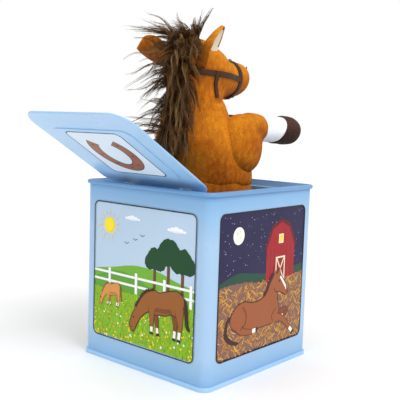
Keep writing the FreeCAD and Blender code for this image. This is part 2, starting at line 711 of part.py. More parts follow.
def crank_knob():
    """A turned pear-shaped grip, free to spin on the rod."""
    body = new_body("CrankKnob")
    outline = sketch_on(body, "Outline", "XZ_Plane", z="0")
    z = "crank_z - crank_throw"
    bore = f"{z} + rod_radius + run_gap"
    points = (("knob_start", bore), ("knob_start", f"{z} + 0.5*knob_radius"),
              ("knob_start + 3", f"{z} + 0.62*knob_radius"),
              ("knob_start + 7", f"{z} + 0.93*knob_radius"),
              ("knob_start + 11", f"{z} + knob_radius"),
              ("knob_end - 3", f"{z} + 0.86*knob_radius"),
              ("knob_end", f"{z} + 0.5*knob_radius"), ("knob_end", bore))
    polygon(outline, points)
    spin = sketch_on(body, "SpinAxis", "XZ_Plane")
    add_line(spin, ("knob_start", z), ("knob_end", z))
    doc.recompute()
    turned = body.newObject("PartDesign::Revolution", "Turned")
    turned.Profile = outline
    turned.ReferenceAxis = (spin, ["Edge1"])
    turned.Angle = 360
    doc.recompute()
    fillet(body, "1.2", lambda e: e.BoundBox.XLength < 1e-6 and e.Curve.Radius > value("3"))
    return finish(body, "crank_knob")


def knob_cap():
    """A pressed cap on the end of the rod that keeps the grip on."""
    z = "crank_z - crank_throw"
    disc = rod("KnobCapDisc", "x", "3.6", "knob_end + 0.4", "grip_end + 1", "0", z)
    bore = rod("KnobCapBore", "x", "rod_radius", "knob_end + 0.4", "grip_end", "0", z)
    return finish(cut("KnobCap", disc, bore), "knob_cap")


def crank_bush():
    """A flanged bush in the wall that carries the crank."""
    wall = "box_width/2"
    tube = rod("BushTube", "x", "bush_radius", f"{wall} - sheet", wall, "0", "crank_z")
    flange = rod("BushFlange", "x", "bush_flange", wall, f"{wall} + 1.2", "0", "crank_z")
    nose = rod("BushNose", "x", "bush_radius - 0.6", f"{wall} + 1.2", f"{wall} + 2.4",
               "0", "crank_z")
    bore = rod("BushBore", "x", "rod_radius + run_gap", f"{wall} - 2", f"{wall} + 4",
               "0", "crank_z")
    return finish(cut("CrankBush", fuse("BushSolid", tube, flange, nose), bore), "crank_bush")


# ---------------------------------------------------------------- gears

def gear(name, teeth, bore, centre_y, bump):
    """A spur gear along X with straight-sided teeth; bump turns it by that many degrees."""
    body = new_body(name)
    root = f"tooth_module*({teeth}/2 - 1)"
    disc = sketch_on(body, "Disc", "XY_Plane")
    circle(disc, root)
    pad(body, disc, "gear_face")
    tooth = sketch_on(body, "Tooth", "XY_Plane")
    tip = f"tooth_module*({teeth}/2 + 0.85)"
    wide = "tooth_module*0.95"
    narrow = "tooth_module*0.3"
    polygon(tooth, ((f"{root} - 0.3", f"0 - {wide}"), (tip, f"0 - {narrow}"),
                    (tip, narrow), (f"{root} - 0.3", wide)))
    one = pad(body, tooth, "gear_face")
    polar(body, one, "Z_Axis", teeth)
    hole = sketch_on(body, "Bore", "XY_Plane")
    circle(hole, bore)
    pocket(body, hole, "gear_face")
    toward_back = FreeCAD.Rotation(Vector(0, 0, 1), 90 + bump)
    return place(body, "gear_in", centre_y, "crank_z", ALONG_X * toward_back)


def crank_pinion():
    pinion = gear("CrankPinion", "pinion_teeth", "rod_radius", "0", 180 / SIZES["pinion_teeth"])
    return finish(pinion, "crank_pinion")


ARBOR_Y = "tooth_module*(pinion_teeth + drum_teeth)/2"


def drum_gear():
    return finish(gear("DrumGear", "drum_teeth", "arbor_radius", ARBOR_Y, 0), "drum_gear")


# ---------------------------------------------------------------- musical movement

def plate(name, x0, holes):
    """One side plate of the movement, with a round hole for each (radius, y, z)."""
    body = new_body(name)
    outline = sketch_on(body, "Outline", "YZ_Plane", z=x0)
    polygon(outline, (("0 - plate_front", "plate_low"), ("plate_back", "plate_low"),
                      ("plate_back", "plate_high"), ("0 - plate_front", "plate_high")))
    for radius, y, z in holes:
        circle(outline, radius, y, z)
    pad(body, outline, "plate_thickness")
    corner = value("plate_thickness")
    fillet(body, "3", lambda e: e.BoundBox.XLength > corner - 1e-6 and e.Curve.TypeId
           == "Part::GeomLine")
    return body


def inner_plate():
    holes = [("rod_radius + run_gap", "0", "crank_z"),
             ("arbor_radius + run_gap", ARBOR_Y, "crank_z"),
             ("latch_pin_radius - 0.3", "0 - latch_y", "latch_z")]
    holes += [("spacer_radius - 1", y, z) for y, z in PLATE_SPACER_PLACES]
    holes += [("1", y, "66.5") for y in ("50", "56")]
    return finish(plate("InnerPlate", "plate_in", holes), "inner_plate")


def outer_plate():
    holes = [("rod_radius + run_gap", "0", "crank_z"),
             ("arbor_radius + run_gap", ARBOR_Y, "crank_z")]
    holes += [("screw_radius + run_gap", y, z) for y, z in PLATE_SPACER_PLACES]
    start = "box_width/2 - sheet - plate_thickness"
    return finish(plate("OuterPlate", start, holes), "outer_plate")


def plate_spacers():
    """Four pillars: riveted over the inner plate, drilled at the outer end for a screw."""
    pillars = []
    inner = "plate_in + plate_thickness"
    outer = "box_width/2 - sheet - plate_thickness"
    for i, (y, z) in enumerate(PLATE_SPACER_PLACES):
        shank = rod(f"PillarShank{i}", "x", "spacer_radius", inner, outer, y, z)
        stub = rod(f"PillarStub{i}", "x", "spacer_radius - 1", "plate_in", inner, y, z)
        head = rod(f"PillarHead{i}", "x", "spacer_radius - 0.3", "plate_in - 0.6", "plate_in",
                   y, z)
        hole = rod(f"PillarHole{i}", "x", "screw_radius", f"{outer} - 7", outer, y, z)
        pillars.append(cut(f"Pillar{i}", fuse(f"PillarSolid{i}", shank, stub, head), hole))
    return finish(group("PlateSpacers", pillars), "plate_spacers")


def movement_screws():
    """Pan-head screws through the wall and the outer plate into the pillars."""
    screws = []
    wall = "box_width/2"
    inner = "box_width/2 - sheet - plate_thickness - 6.5"
    for i, (y, z) in enumerate(PLATE_SPACER_PLACES):
        shank = rod(f"ScrewShank{i}", "x", "screw_radius", inner, wall, y, z)
        head = rod(f"ScrewHead{i}", "x", "screw_head", wall, f"{wall} + screw_head_height", y, z)
        slot = block(f"ScrewSlot{i}", f"{wall} + screw_head_height - 0.6",
                     f"{wall} + screw_head_height", f"{y} - screw_head", f"{y} + screw_head",
                     f"{z} - 0.35", f"{z} + 0.35")
        domed = doc.addObject("Part::Fillet", f"ScrewDome{i}")
        domed.Base = head
        doc.recompute()
        domed.Edges = [(edge_number(head.Shape, f"{wall} + screw_head_height"), 0.7, 0.7)]
        screws.append(cut(f"Screw{i}", fuse(f"ScrewSolid{i}", shank, domed), slot))
    return finish(group("MovementScrews", screws), "movement_screws")


def edge_number(shape, x):
    """The number of the round edge that lies in the plane at x."""
    for i, edge in enumerate(shape.Edges, start=1):
        if edge.BoundBox.XLength < 1e-6 and abs(edge.BoundBox.XMin - value(x)) < 1e-6:
            return i
    raise RuntimeError("no round edge there")


def drum_arbor():
    return finish(rod("DrumArbor", "x", "arbor_radius", "plate_in + 0.1",
                      "box_width/2 - sheet - 0.1", ARBOR_Y, "crank_z"), "drum_arbor")


def music_drum():
    """The tune barrel, with rows of short pins that lift the comb's tines."""
    body = new_body("MusicDrum")
    barrel = sketch_on(body, "Barrel", "XY_Plane")
    circle(barrel, "drum_radius")
    pad(body, barrel, "drum_out - drum_in")
    bore = sketch_on(body, "Bore", "XY_Plane")
    circle(bore, "arbor_radius")
    pocket(body, bore, "drum_out - drum_in")
    base = sketch_on(body, "PinRow", "XZ_Plane", z="0 - drum_radius - drum_pin_height")
    for k in range(4):
        circle(base, "drum_pin_radius", "0", f"1.2 + {k}*4*tine_pitch")
    pins = pad(body, base, "drum_pin_height + 0.3")
    polar(body, pins, "Z_Axis", "drum_pin_count")
    place(body, "drum_in", ARBOR_Y, "crank_z", ALONG_X)
    return finish(body, "music_drum")


def trip_cam():
    """A disc with one finger that pushes the latch tail once a turn of the drum."""
    body = new_body("TripCam")
    disc = sketch_on(body, "Disc", "YZ_Plane", z="cam_in")
    circle(disc, "cam_radius", ARBOR_Y, "crank_z")
    circle(disc, "arbor_radius", ARBOR_Y, "crank_z")
    pad(body, disc, "cam_face")
    finger = sketch_on(body, "Finger", "YZ_Plane", z="cam_in")
    polygon(finger, ((f"{ARBOR_Y} + cam_radius - 0.6", "crank_z - 2.2"),
                     (f"{ARBOR_Y} + cam_reach", "crank_z - 1"),
                     (f"{ARBOR_Y} + cam_reach", "crank_z + 1"),
                     (f"{ARBOR_Y} + cam_radius - 0.6", "crank_z + 2.2")))
    pad(body, finger, "cam_face")
    return finish(body, "trip_cam")


def comb_bracket():
    inner = "plate_in + plate_thickness"
    shelf = block("BracketShelf", inner, "drum_out", "comb_root", "comb_back",
                  "crank_z - 0.3 - 2.5", "crank_z - 0.3")
    flange = block("BracketFlange", inner, f"{inner} + 1.2", "comb_root", "comb_back",
                   "62.5", "crank_z - 0.3 - 2.5")
    holes = [rod(f"BracketHole{i}", "x", "1", inner, f"{inner} + 1.2", y, "66.5")
             for i, y in enumerate(("50", "56"))]
    taps = [rod(f"BracketTap{i}", "z", "0.9", "crank_z - 0.3 - 2.5", "crank_z - 0.3", x, "52.5")
            for i, x in enumerate(("55", "60.5"))]
    solid = fuse("BracketSolid", shelf, flange)
    return finish(cut("CombBracket", solid, fuse("BracketHoles", *holes, *taps)), "comb_bracket")


def bracket_rivets():
    rivets = []
    inner = "plate_in + plate_thickness + 1.2"
    for i, y in enumerate(("50", "56")):
        shank = rod(f"BracketRivetShank{i}", "x", "1", "plate_in", inner, y, "66.5")
        head = rod(f"BracketRivetHead{i}", "x", "1.8", inner, f"{inner} + 0.7", y, "66.5")
        tail = rod(f"BracketRivetTail{i}", "x", "1.6", "plate_in - 0.5", "plate_in", y, "66.5")
        rivets.append(fuse(f"BracketRivet{i}", shank, head, tail))
    return finish(group("BracketRivets", rivets), "bracket_rivets")


def music_comb():
    """The steel comb: a clamped back and a row of thin tines that end just off the pins."""
    body = new_body("MusicComb")
    floor = "crank_z - 0.3"
    back = sketch_on(body, "Back", "XY_Plane", z=floor)
    polygon(back, (("drum_in", "comb_root"), ("drum_out", "comb_root"),
                   ("drum_out", "comb_back"), ("drum_in", "comb_back")))
    for x in ("55", "60.5"):
        circle(back, "0.95", x, "52.5")
    pad(body, back, "comb_thickness")
    tip = f"{ARBOR_Y} + drum_radius + drum_pin_height + comb_tip_gap"
    tine = sketch_on(body, "Tine", "XY_Plane", z=floor)
    polygon(tine, (("drum_in + 0.2", tip), ("drum_in + 0.2 + tine_width", tip),
                   ("drum_in + 0.2 + tine_width", "comb_root + 0.2"),
                   ("drum_in + 0.2", "comb_root + 0.2")))
    one = pad(body, tine, "tine_thickness")
    row(body, one, "X_Axis", "tine_pitch*(tine_count - 1)", "tine_count")
    return finish(body, "music_comb")


def comb_screws():
    screws = []
    top = "crank_z - 0.3 + comb_thickness"
    for i, x in enumerate(("55", "60.5")):
        shank = rod(f"CombScrewShank{i}", "z", "0.9", "crank_z - 0.3 - 2.5", top, x, "52.5")
        head = rod(f"CombScrewHead{i}", "z", "1.9", top, f"{top} + 1.1", x, "52.5")
        slot = block(f"CombScrewSlot{i}", f"{x} - 1.9", f"{x} + 1.9", "52.2", "52.8",
                     f"{top} + 0.6", f"{top} + 1.1")
        screws.append(cut(f"CombScrew{i}", fuse(f"CombScrewSolid{i}", shank, head), slot))
    return finish(group("CombScrews", screws), "comb_screws")


# ---------------------------------------------------------------- latch

def latch_lever():
    """A flat lever on the inner plate: a nose above for the lid catch, a tail below for the cam."""
    body = new_body("LatchLever")
    blank = sketch_on(body, "Blank", "YZ_Plane", z="lever_in")
    nose_top = "latch_nose_z + latch_nose_height"
    y = "0 - latch_y"
    points = ((f"{y} + 3.5", "latch_z - 3"), (f"{y} + 3", "latch_z + 8"),
              (f"{y} + 2.5", nose_top), (f"0 - latch_nose_tip + 1.2", nose_top),
              ("0 - latch_nose_tip", "latch_nose_z + 0.6"),
              ("0 - latch_nose_tip", "latch_nose_z"), (f"{y} - 1", "latch_nose_z"),
              (f"{y} - 3", "latch_z + 8"), (f"{y} - 3.5", "latch_z - 2"),
              (f"{y} + 11.5", "latch_z - 18"), (f"{y} + 14", "latch_z - 17"))
    polygon(blank, points)
    circle(blank, "latch_pin_radius + run_gap", y, "latch_z")
    pad(body, blank, "lever_face")
    return finish(body, "latch_lever")


def latch_pin():
    """The lever's shouldered pin, riveted in the inner plate."""
    y = "0 - latch_y"
    stub = rod("LatchPinStub", "x", "latch_pin_radius - 0.3", "plate_in",
               "plate_in + plate_thickness", y, "latch_z")
    tail = rod("LatchPinTail", "x", "latch_pin_radius + 0.6", "plate_in - 0.6", "plate_in",
               y, "latch_z")
    shank = rod("LatchPinShank", "x", "latch_pin_radius", "plate_in + plate_thickness", "56",
                y, "latch_z")
    head = rod("LatchPinHead", "x", "latch_pin_radius + 1.4", "56", "56.8", y, "latch_z")
    return finish(fuse("LatchPin", stub, tail, shank, head), "latch_pin")


def latch_spring():
    """A light coil on the pin between the lever and the pin's head."""
    spring = coil("LatchSpring", "2.1", "0.3", "3.2", "4", "lever_in + lever_face + 0.5",
                  "0 - latch_y", "latch_z", ALONG_X)
    return finish(spring, "latch_spring")


# ---------------------------------------------------------------- the whole toy

base_plate()
tin_body()
top_frame()
hinge_leaves()
hinge_rivets()
lid_panel()
hinge_pin()
lid_catch()
catch_rivets()
spring_seat()
seat_rivets()
main_spring()
sleeve()
spring_cap()
torso()
head()
ear(-1, "right_ear")
ear(1, "left_ear")
mane()
forelock()
bridle()
eyes()
foreleg(-1, "right")
foreleg(1, "left")
crank_rod()
crank_knob()
knob_cap()
crank_bush()
crank_pinion()
drum_gear()
inner_plate()
outer_plate()
plate_spacers()
movement_screws()
drum_arbor()
music_drum()
trip_cam()
comb_bracket()
bracket_rivets()
music_comb()
comb_screws()
latch_lever()
latch_pin()
latch_spring()
doc.recompute()

for obj in doc.Objects:
    if "Invalid" in obj.State or "Error" in obj.State:
        raise RuntimeError(f"{obj.Label} did not compute: {obj.State}")

os.makedirs("parts", exist_ok=True)
for obj in finished:
    if obj.Shape.isNull() or not obj.Shape.isValid() or not obj.Shape.Solids:
        raise RuntimeError(f"{obj.Label} has no valid solid")
    obj.Shape.exportStep(f"parts/{obj.Label}.step")
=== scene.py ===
import json
import math
import random

import bmesh
import bpy
import numpy as np
from mathutils import Matrix, Vector, geometry, noise
from mathutils.bvhtree import BVHTree


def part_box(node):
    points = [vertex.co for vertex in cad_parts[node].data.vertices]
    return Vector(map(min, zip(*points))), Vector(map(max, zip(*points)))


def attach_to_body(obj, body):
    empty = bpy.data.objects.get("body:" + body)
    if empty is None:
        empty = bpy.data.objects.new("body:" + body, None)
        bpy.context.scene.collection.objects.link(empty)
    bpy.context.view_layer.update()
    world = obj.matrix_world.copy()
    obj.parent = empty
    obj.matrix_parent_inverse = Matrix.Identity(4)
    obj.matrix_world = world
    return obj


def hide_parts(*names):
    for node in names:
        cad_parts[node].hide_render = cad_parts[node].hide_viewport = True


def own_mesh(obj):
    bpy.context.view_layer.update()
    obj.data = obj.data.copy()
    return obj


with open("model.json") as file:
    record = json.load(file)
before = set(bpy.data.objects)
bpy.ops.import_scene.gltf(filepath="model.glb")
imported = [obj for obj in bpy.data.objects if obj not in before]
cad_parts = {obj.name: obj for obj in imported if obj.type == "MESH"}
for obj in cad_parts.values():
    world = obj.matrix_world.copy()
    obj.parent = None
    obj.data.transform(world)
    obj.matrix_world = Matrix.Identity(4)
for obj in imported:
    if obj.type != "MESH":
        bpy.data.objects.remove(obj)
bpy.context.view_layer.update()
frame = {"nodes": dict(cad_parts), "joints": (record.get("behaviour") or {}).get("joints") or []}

# Looks for the jack in the box. Sizes are millimetres times MM, in the frame's own axes:
# +Z up, -Y the front that the horse faces, +Y the lid's hinge side, +X the crank side.
MM = 0.001
TRAVEL = -next(j for j in frame["joints"] if j["name"] == "puppet_rise")["range_m"][0]


# ---------------------------------------------------------------- materials

def linear(code):
    """A hex colour as the linear RGBA that shaders take."""
    values = [int(code[i:i + 2], 16) / 255 for i in (1, 3, 5)]
    return [c / 12.92 if c <= 0.04045 else ((c + 0.055) / 1.055) ** 2.4 for c in values] + [1.0]


class Shader:
    """A Principled material with short calls for the nodes that these looks use."""

    def __init__(self, name, colour, roughness=0.5, **inputs):
        self.material = bpy.data.materials.new(name)
        self.material.use_nodes = True
        self.tree = self.material.node_tree
        self.bsdf = self.tree.nodes["Principled BSDF"]
        self.place = self.node("ShaderNodeTexCoord").outputs["Object"]
        self.set("Base Color", linear(colour))
        self.set("Roughness", roughness)
        for key, number in inputs.items():
            self.set(key.replace("_", " "), number)

    def node(self, kind, **settings):
        made = self.tree.nodes.new(kind)
        for key, setting in settings.items():
            setattr(made, key, setting)
        return made

    def link(self, source, target):
        self.tree.links.new(source, target)

    def set(self, key, number):
        self.bsdf.inputs[key].default_value = number

    def noise(self, scale, detail=3.0, stretch=(1, 1, 1)):
        """Noise with scale features to the metre, stretched along the axes."""
        mapping = self.node("ShaderNodeMapping")
        mapping.inputs["Scale"].default_value = stretch
        self.link(self.place, mapping.inputs["Vector"])
        texture = self.node("ShaderNodeTexNoise")
        texture.inputs["Scale"].default_value = scale
        texture.inputs["Detail"].default_value = detail
        self.link(mapping.outputs["Vector"], texture.inputs["Vector"])
        return texture.outputs["Fac"]

    def ramp(self, factor, *stops):
        """A colour ramp over factor; stops are (position, hex colour)."""
        ramp = self.node("ShaderNodeValToRGB")
        elements = ramp.color_ramp.elements
        while len(elements) < len(stops):
            elements.new(0.5)
        for element, (position, code) in zip(elements, stops):
            element.position = position
            element.color = linear(code)
        self.link(factor, ramp.inputs["Fac"])
        return ramp.outputs["Color"]

    def span(self, source, low, high, start=0.3, stop=0.7):
        """source from start to stop, spread over low to high."""
        spread = self.node("ShaderNodeMapRange")
        for key, number in (("From Min", start), ("From Max", stop), ("To Min", low),
                            ("To Max", high)):
            spread.inputs[key].default_value = number
        self.link(source, spread.inputs["Value"])
        return spread.outputs["Result"]

    def upward(self, vector):
        """The Z part of a vector."""
        parts = self.node("ShaderNodeSeparateXYZ")
        self.link(vector, parts.inputs["Vector"])
        return parts.outputs["Z"]

    def mix(self, factor, a, b, blend="MIX"):
        mixer = self.node("ShaderNodeMix", data_type="RGBA", blend_type=blend)
        for socket, source in ((mixer.inputs["Factor"], factor), (mixer.inputs["A"], a),
                               (mixer.inputs["B"], b)):
            if isinstance(source, (int, float)):
                socket.default_value = source
            elif isinstance(source, str):
                socket.default_value = linear(source)
            else:
                self.link(source, socket)
        return mixer.outputs["Result"]

    def colour(self, source):
        self.link(source, self.bsdf.inputs["Base Color"])

    def rough(self, source):
        self.link(source, self.bsdf.inputs["Roughness"])

    def bump(self, height, distance, strength=1.0):
        bump = self.node("ShaderNodeBump")
        bump.inputs["Strength"].default_value = strength
        bump.inputs["Distance"].default_value = distance
        self.link(height, bump.inputs["Height"])
        normal = self.bsdf.inputs["Normal"]
        if normal.is_linked:
            self.link(normal.links[0].from_socket, bump.inputs["Normal"])
        self.link(bump.outputs["Normal"], normal)


def tin(name, code, shade, shade_bands=()):
    """Lacquered tinplate: soft colour drift, orange peel and faint rubbing.

    shade_bands holds heights in millimetres and colours: painted shade and reflection, darker
    towards the foot and darkest just under the rim."""
    look = Shader(name, code, 0.3, Coat_Weight=0.35, Coat_Roughness=0.16)
    drift = look.ramp(look.noise(9, 2), (0.3, shade), (0.7, code))
    if shade_bands:
        top = shade_bands[-1][0]
        height = look.span(look.upward(look.place), 0.0, 1.0, 0.0, top * MM)
        # painted shade and reflection by height, mixed over the colour drift
        drift = look.mix(0.75, drift, look.ramp(height, *((z / top, c) for z, c in shade_bands)))
    look.colour(drift)
    look.rough(look.span(look.noise(60, 4), 0.27, 0.4))
    look.bump(look.noise(260, 2), 0.00006, 0.5)
    return look.material


def ink(code):
    """One printed ink of the pictures, under the same lacquer as the tin."""
    name = "ink_" + code[1:].lower()
    if name in bpy.data.materials:
        return bpy.data.materials[name]
    look = Shader(name, code, 0.42, Coat_Weight=0.12, Coat_Roughness=0.2)
    look.set("Specular IOR Level", 0.22)
    look.rough(look.span(look.noise(60, 4), 0.36, 0.5))
    return look.material


def metal(name, code, roughness, streak=(1, 1, 1), scale=400):
    """Bare metal with a fine grain, drawn out along streak."""
    look = Shader(name, code, roughness, Metallic=1.0)
    grain = look.noise(scale, 4, streak)
    look.rough(look.span(grain, roughness * 0.75, roughness * 1.4))
    look.bump(grain, 0.00004, 0.5)
    return look.material


def plush(name, dark, mid, light, patch=70, pile=0.00045, sheen=0.2):
    """Short crushed pile: streaky patches, a fine nap, a pale sheen at grazing angles and painted
    top light.
    """
    look = Shader(name, mid, 0.9, Sheen_Weight=sheen, Sheen_Roughness=0.45)
    look.set("Sheen Tint", linear(light))
    look.set("Specular IOR Level", 0.2)
    drift = look.ramp(look.noise(patch * 0.35, 2), (0.34, dark), (0.47, mid), (0.64, light))
    crush = look.ramp(look.noise(patch * 4, 5, (1, 1, 0.6)), (0.32, dark), (0.5, mid), (0.7, light))
    patches = look.mix(0.55, drift, crush)
    # painted light and shade: upward faces painted lighter, downward faces darker, as lit from
    # above
    facing = look.upward(look.node("ShaderNodeNewGeometry").outputs["Normal"])
    facing = look.span(facing, 0.0, 1.0, -0.8, 0.9)
    painted_top_light = look.ramp(facing, (0.12, dark), (0.46, mid), (0.8, light))
    patches = look.mix(0.5, patches, painted_top_light)
    nap = look.noise(1700, 2, (1, 1, 0.45))
    look.colour(look.mix(look.span(nap, 0.0, 0.4), patches, dark, "MULTIPLY"))
    look.rough(look.span(nap, 0.8, 1.0))
    look.bump(look.noise(patch * 4, 5, (1, 1, 0.6)), 0.0007, 0.45)
    look.bump(nap, pile, 0.8)
    return look.material


def hair(name, dark, light):
    """Dull fibre with colour that changes from hair to hair."""
    look = Shader(name, dark, 0.45)
    look.set("Specular IOR Level", 0.25)
    look.colour(look.ramp(look.noise(120, 3, (1, 1, 0.3)), (0.3, dark), (0.7, light)))
    look.rough(look.span(look.noise(800, 2), 0.36, 0.6))
    return look.material


def ribbon(name, dark, light):
    """A woven ribbon: fine ribs across its length."""
    look = Shader(name, dark, 0.6)
    look.set("Specular IOR Level", 0.3)
    wave = look.node("ShaderNodeTexWave", bands_direction="DIAGONAL")
    wave.inputs["Scale"].default_value = 700
    wave.inputs["Distortion"].default_value = 1.5
    look.link(look.place, wave.inputs["Vector"])
    look.colour(look.ramp(wave.outputs["Fac"], (0.2, dark), (0.9, light)))
    look.rough(look.span(look.noise(900, 2), 0.5, 0.75))
    look.bump(wave.outputs["Fac"], 0.00015, 0.7)
    return look.material


def plastic(name, code, shade, roughness=0.22):
    """Smooth glossy plastic with faint handling marks."""
    look = Shader(name, code, roughness, Coat_Weight=0.6, Coat_Roughness=0.08)
    look.colour(look.ramp(look.noise(25, 2), (0.35, shade), (0.65, code)))
    look.rough(look.span(look.noise(180, 4), roughness * 0.8, roughness * 1.5))
    look.bump(look.noise(500, 2), 0.00003, 0.4)
    return look.material


def board(name, dark, light):
    """Pressed fibre with a mottled, matt face."""
    look = Shader(name, light, 0.85)
    look.colour(look.ramp(look.noise(220, 6, (1, 1, 3)), (0.35, dark), (0.7, light)))
    look.rough(look.span(look.noise(300, 3), 0.75, 0.95))
    look.bump(look.noise(700, 4), 0.00012, 0.6)
    return look.material


TIN = tin("sky_blue_tin", "#A4C9EC", "#92BEE6")
# painted shade: the tin_body wall is darker towards its foot and darkest just under the top rim
WALL = tin("blue_tin_painted_shade", "#9EC0E0", "#8EB8DE",
           ((0, "#5A96C8"), (3, "#6CA2D0"), (9, "#7FAED8"), (26, "#A0C0DF"), (112, "#A4C3E1"),
            (134, "#88B4DB"), (145, "#70A6D5"), (148.5, "#4888C0"), (152.4, "#4888C0")))
STEEL = metal("plated_steel", "#C4C7CB", 0.26, (1, 1, 6))
SPRING_STEEL = metal("spring_wire", "#8E9196", 0.32, (1, 1, 1), 900)
BRASS = metal("machined_brass", "#D3AC5C", 0.24, (5, 1, 1))
FIBREBOARD = board("pressed_board", "#6B4A2C", "#8A6440")
PLUSH = plush("brown_plush", "#602902", "#BB6206", "#F9A11F", sheen=0.12)
SOCK = plush("white_plush", "#DADDE4", "#F2F3F6", "#FFFFFF", 50, 0.0003, 0.25)
HOOF = plush("hoof_plush", "#24140F", "#402820", "#5E4038", 90, 0.0004, 0.15)
LINING = plush("ear_lining", "#CFC6A8", "#EDE6CF", "#FBF8EC", 60, 0.0003, 0.3)
HAIR = [hair("hair_dark", "#33200D", "#5A3A1C"), hair("hair_brown", "#5A3A1B", "#8A6034"),
        hair("hair_pale", "#80602F", "#B8935C")]
RIBBON = ribbon("bridle_ribbon", "#2C190A", "#4C2E16")
BEAD = plastic("eye_bead", "#120C0A", "#080505", 0.1)
RED = plastic("red_grip", "#C4161C", "#A80F16")
THREAD = ribbon("seam_thread", "#3A1E0C", "#5A3216")

NODE_LOOKS = {
    TIN: ("base_plate", "top_frame", "lid_panel"),
    WALL: ("tin_body",),
    STEEL: ("hinge_leaves", "hinge_rivets", "hinge_pin", "lid_catch", "catch_rivets",
            "spring_seat", "seat_rivets", "crank_rod", "knob_cap", "inner_plate", "outer_plate",
            "movement_screws", "drum_arbor", "comb_bracket", "comb_screws", "latch_lever",
            "latch_pin"),
    SPRING_STEEL: ("music_comb", "latch_spring"),
    BRASS: ("crank_bush", "crank_pinion", "drum_gear", "plate_spacers", "music_drum",
            "trip_cam", "bracket_rivets"),
    FIBREBOARD: ("spring_cap",),
    RED: ("crank_knob",),
}
for look, names in NODE_LOOKS.items():
    for name in names:
        for node_slot in frame["nodes"][name].material_slots:
            node_slot.material = look


# ---------------------------------------------------------------- mesh helpers

def mm(*point):
    """A point or vector given in millimetres."""
    return Vector([value * MM for value in point])


def circle(count):
    """Cosine and sine of count even turns."""
    return [(math.cos(2 * math.pi * k / count), math.sin(2 * math.pi * k / count))
            for k in range(count)]


def put(name, data):
    """A new object that holds data, in the scene."""
    made = bpy.data.objects.new(name, data)
    bpy.context.collection.objects.link(made)
    return made


def add_piece(name, vertices, faces, materials, indices=None, smooth=True):
    """A new mesh object from plain lists, in metres in the frame."""
    mesh = bpy.data.meshes.new(name)
    mesh.from_pydata([tuple(v) for v in vertices], [], faces)
    for material in materials:
        mesh.materials.append(material)
    if indices is not None:
        mesh.polygons.foreach_set("material_index", indices)
    mesh.polygons.foreach_set("use_smooth", [smooth] * len(faces))
    mesh.update()
    return put(name, mesh)


def loft(name, rings, materials, capped=True):
    """A skin over rings of points; each ring has the same count and turns the same way."""
    count = len(rings[0])
    vertices = [p for ring in rings for p in ring]
    faces = []
    for i in range(len(rings) - 1):
        for j in range(count):
            k = (j + 1) % count
            faces.append((i * count + j, i * count + k, (i + 1) * count + k, (i + 1) * count + j))
    if capped:
        for ring, flip in ((0, True), (len(rings) - 1, False)):
            centre = len(vertices)
            vertices.append(sum((Vector(p) for p in rings[ring]), Vector()) / count)
            for j in range(count):
                k = (j + 1) % count
                a, b = ring * count + j, ring * count + k
                faces.append((centre, b, a) if flip else (centre, a, b))
    piece = add_piece(name, vertices, faces, materials)
    work = bmesh.new()
    work.from_mesh(piece.data)
    bmesh.ops.remove_doubles(work, verts=work.verts, dist=1e-7)
    bmesh.ops.recalc_face_normals(work, faces=work.faces)
    work.to_mesh(piece.data)
    work.free()
    return piece


def apply_modifiers(piece):
    """Replaces the mesh by its evaluated form and clears the modifiers."""
    bpy.context.view_layer.update()
    depsgraph = bpy.context.evaluated_depsgraph_get()
    mesh = bpy.data.meshes.new_from_object(piece.evaluated_get(depsgraph))
    piece.modifiers.clear()
    piece.data = mesh
    mesh.polygons.foreach_set("use_smooth", [True] * len(mesh.polygons))
    return piece


def subdivide(piece):
    """One level of rounding."""
    rounder = piece.modifiers.new("Subdivide", "SUBSURF")
    rounder.levels = rounder.render_levels = 1
    return apply_modifiers(piece)


def merge(name, parts, voxel, smoothing):
    """Parts joined into one plush skin by a voxel remesh, with the joins smoothed."""
    work = bmesh.new()
    for part in parts:
        work.from_mesh(part.data)
    mesh = bpy.data.meshes.new(name)
    work.to_mesh(mesh)
    work.free()
    for part in parts:
        bpy.data.objects.remove(part)
    piece = put(name, mesh)
    remesh = piece.modifiers.new("Remesh", "REMESH")
    remesh.mode = "VOXEL"
    remesh.voxel_size = voxel
    smooth = piece.modifiers.new("Smooth", "SMOOTH")
    smooth.factor = 0.5
    smooth.iterations = smoothing
    apply_modifiers(piece)
    piece.data.materials.clear()
    piece.data.materials.append(PLUSH)
    return piece


def reshape(piece, move):
    """Moves every vertex by move(position, normal)."""
    mesh = piece.data
    moved = [v.co + move(v.co, v.normal) for v in mesh.vertices]
    for vertex, place in zip(mesh.vertices, moved):
        vertex.co = place
    mesh.update()


def wobble(size, depth, seed):
    """A soft unevenness along the normal, in features of size, up to depth."""
    shift = Vector((seed, seed * 1.7, -seed))

    def move(place, normal):
        return normal * depth * noise.noise(place / size + shift)
    return move


def between(x, stops):
    """Straight interpolation in a list of (x, values...) rows, returning the values."""
    columns = np.array(stops, float)
    return [float(np.interp(x, columns[:, 0], columns[:, k])) for k in range(1, columns.shape[1])]


def attach(piece, body, slot, *nodes):
    """piece rides on body and stands for these CAD nodes, which it hides; slot is not used."""
    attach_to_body(piece, body)
    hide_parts(*nodes)
    return piece


def smooth_line(points, steps, closed=False):
    """A Catmull-Rom curve through points, steps to each span."""
    points = [Vector(p) for p in points]
    count = len(points)
    spans = count if closed else count - 1

    def at(i):
        if closed:
            return points[i % count]
        if i < 0:
            return 2 * points[0] - points[1]
        if i >= count:
            return 2 * points[-1] - points[-2]
        return points[i]

    line = []
    for i in range(spans):
        a, b, c, d = at(i - 1), at(i), at(i + 1), at(i + 2)
        for k in range(steps):
            t = k / steps
            line.append(0.5 * (2 * b + (c - a) * t + (2 * a - 5 * b + 4 * c - d) * t * t
                               + (3 * b - a - 3 * c + d) * t ** 3))
    if not closed:
        line.append(points[-1])
    return line


# ---------------------------------------------------------------- plush horse

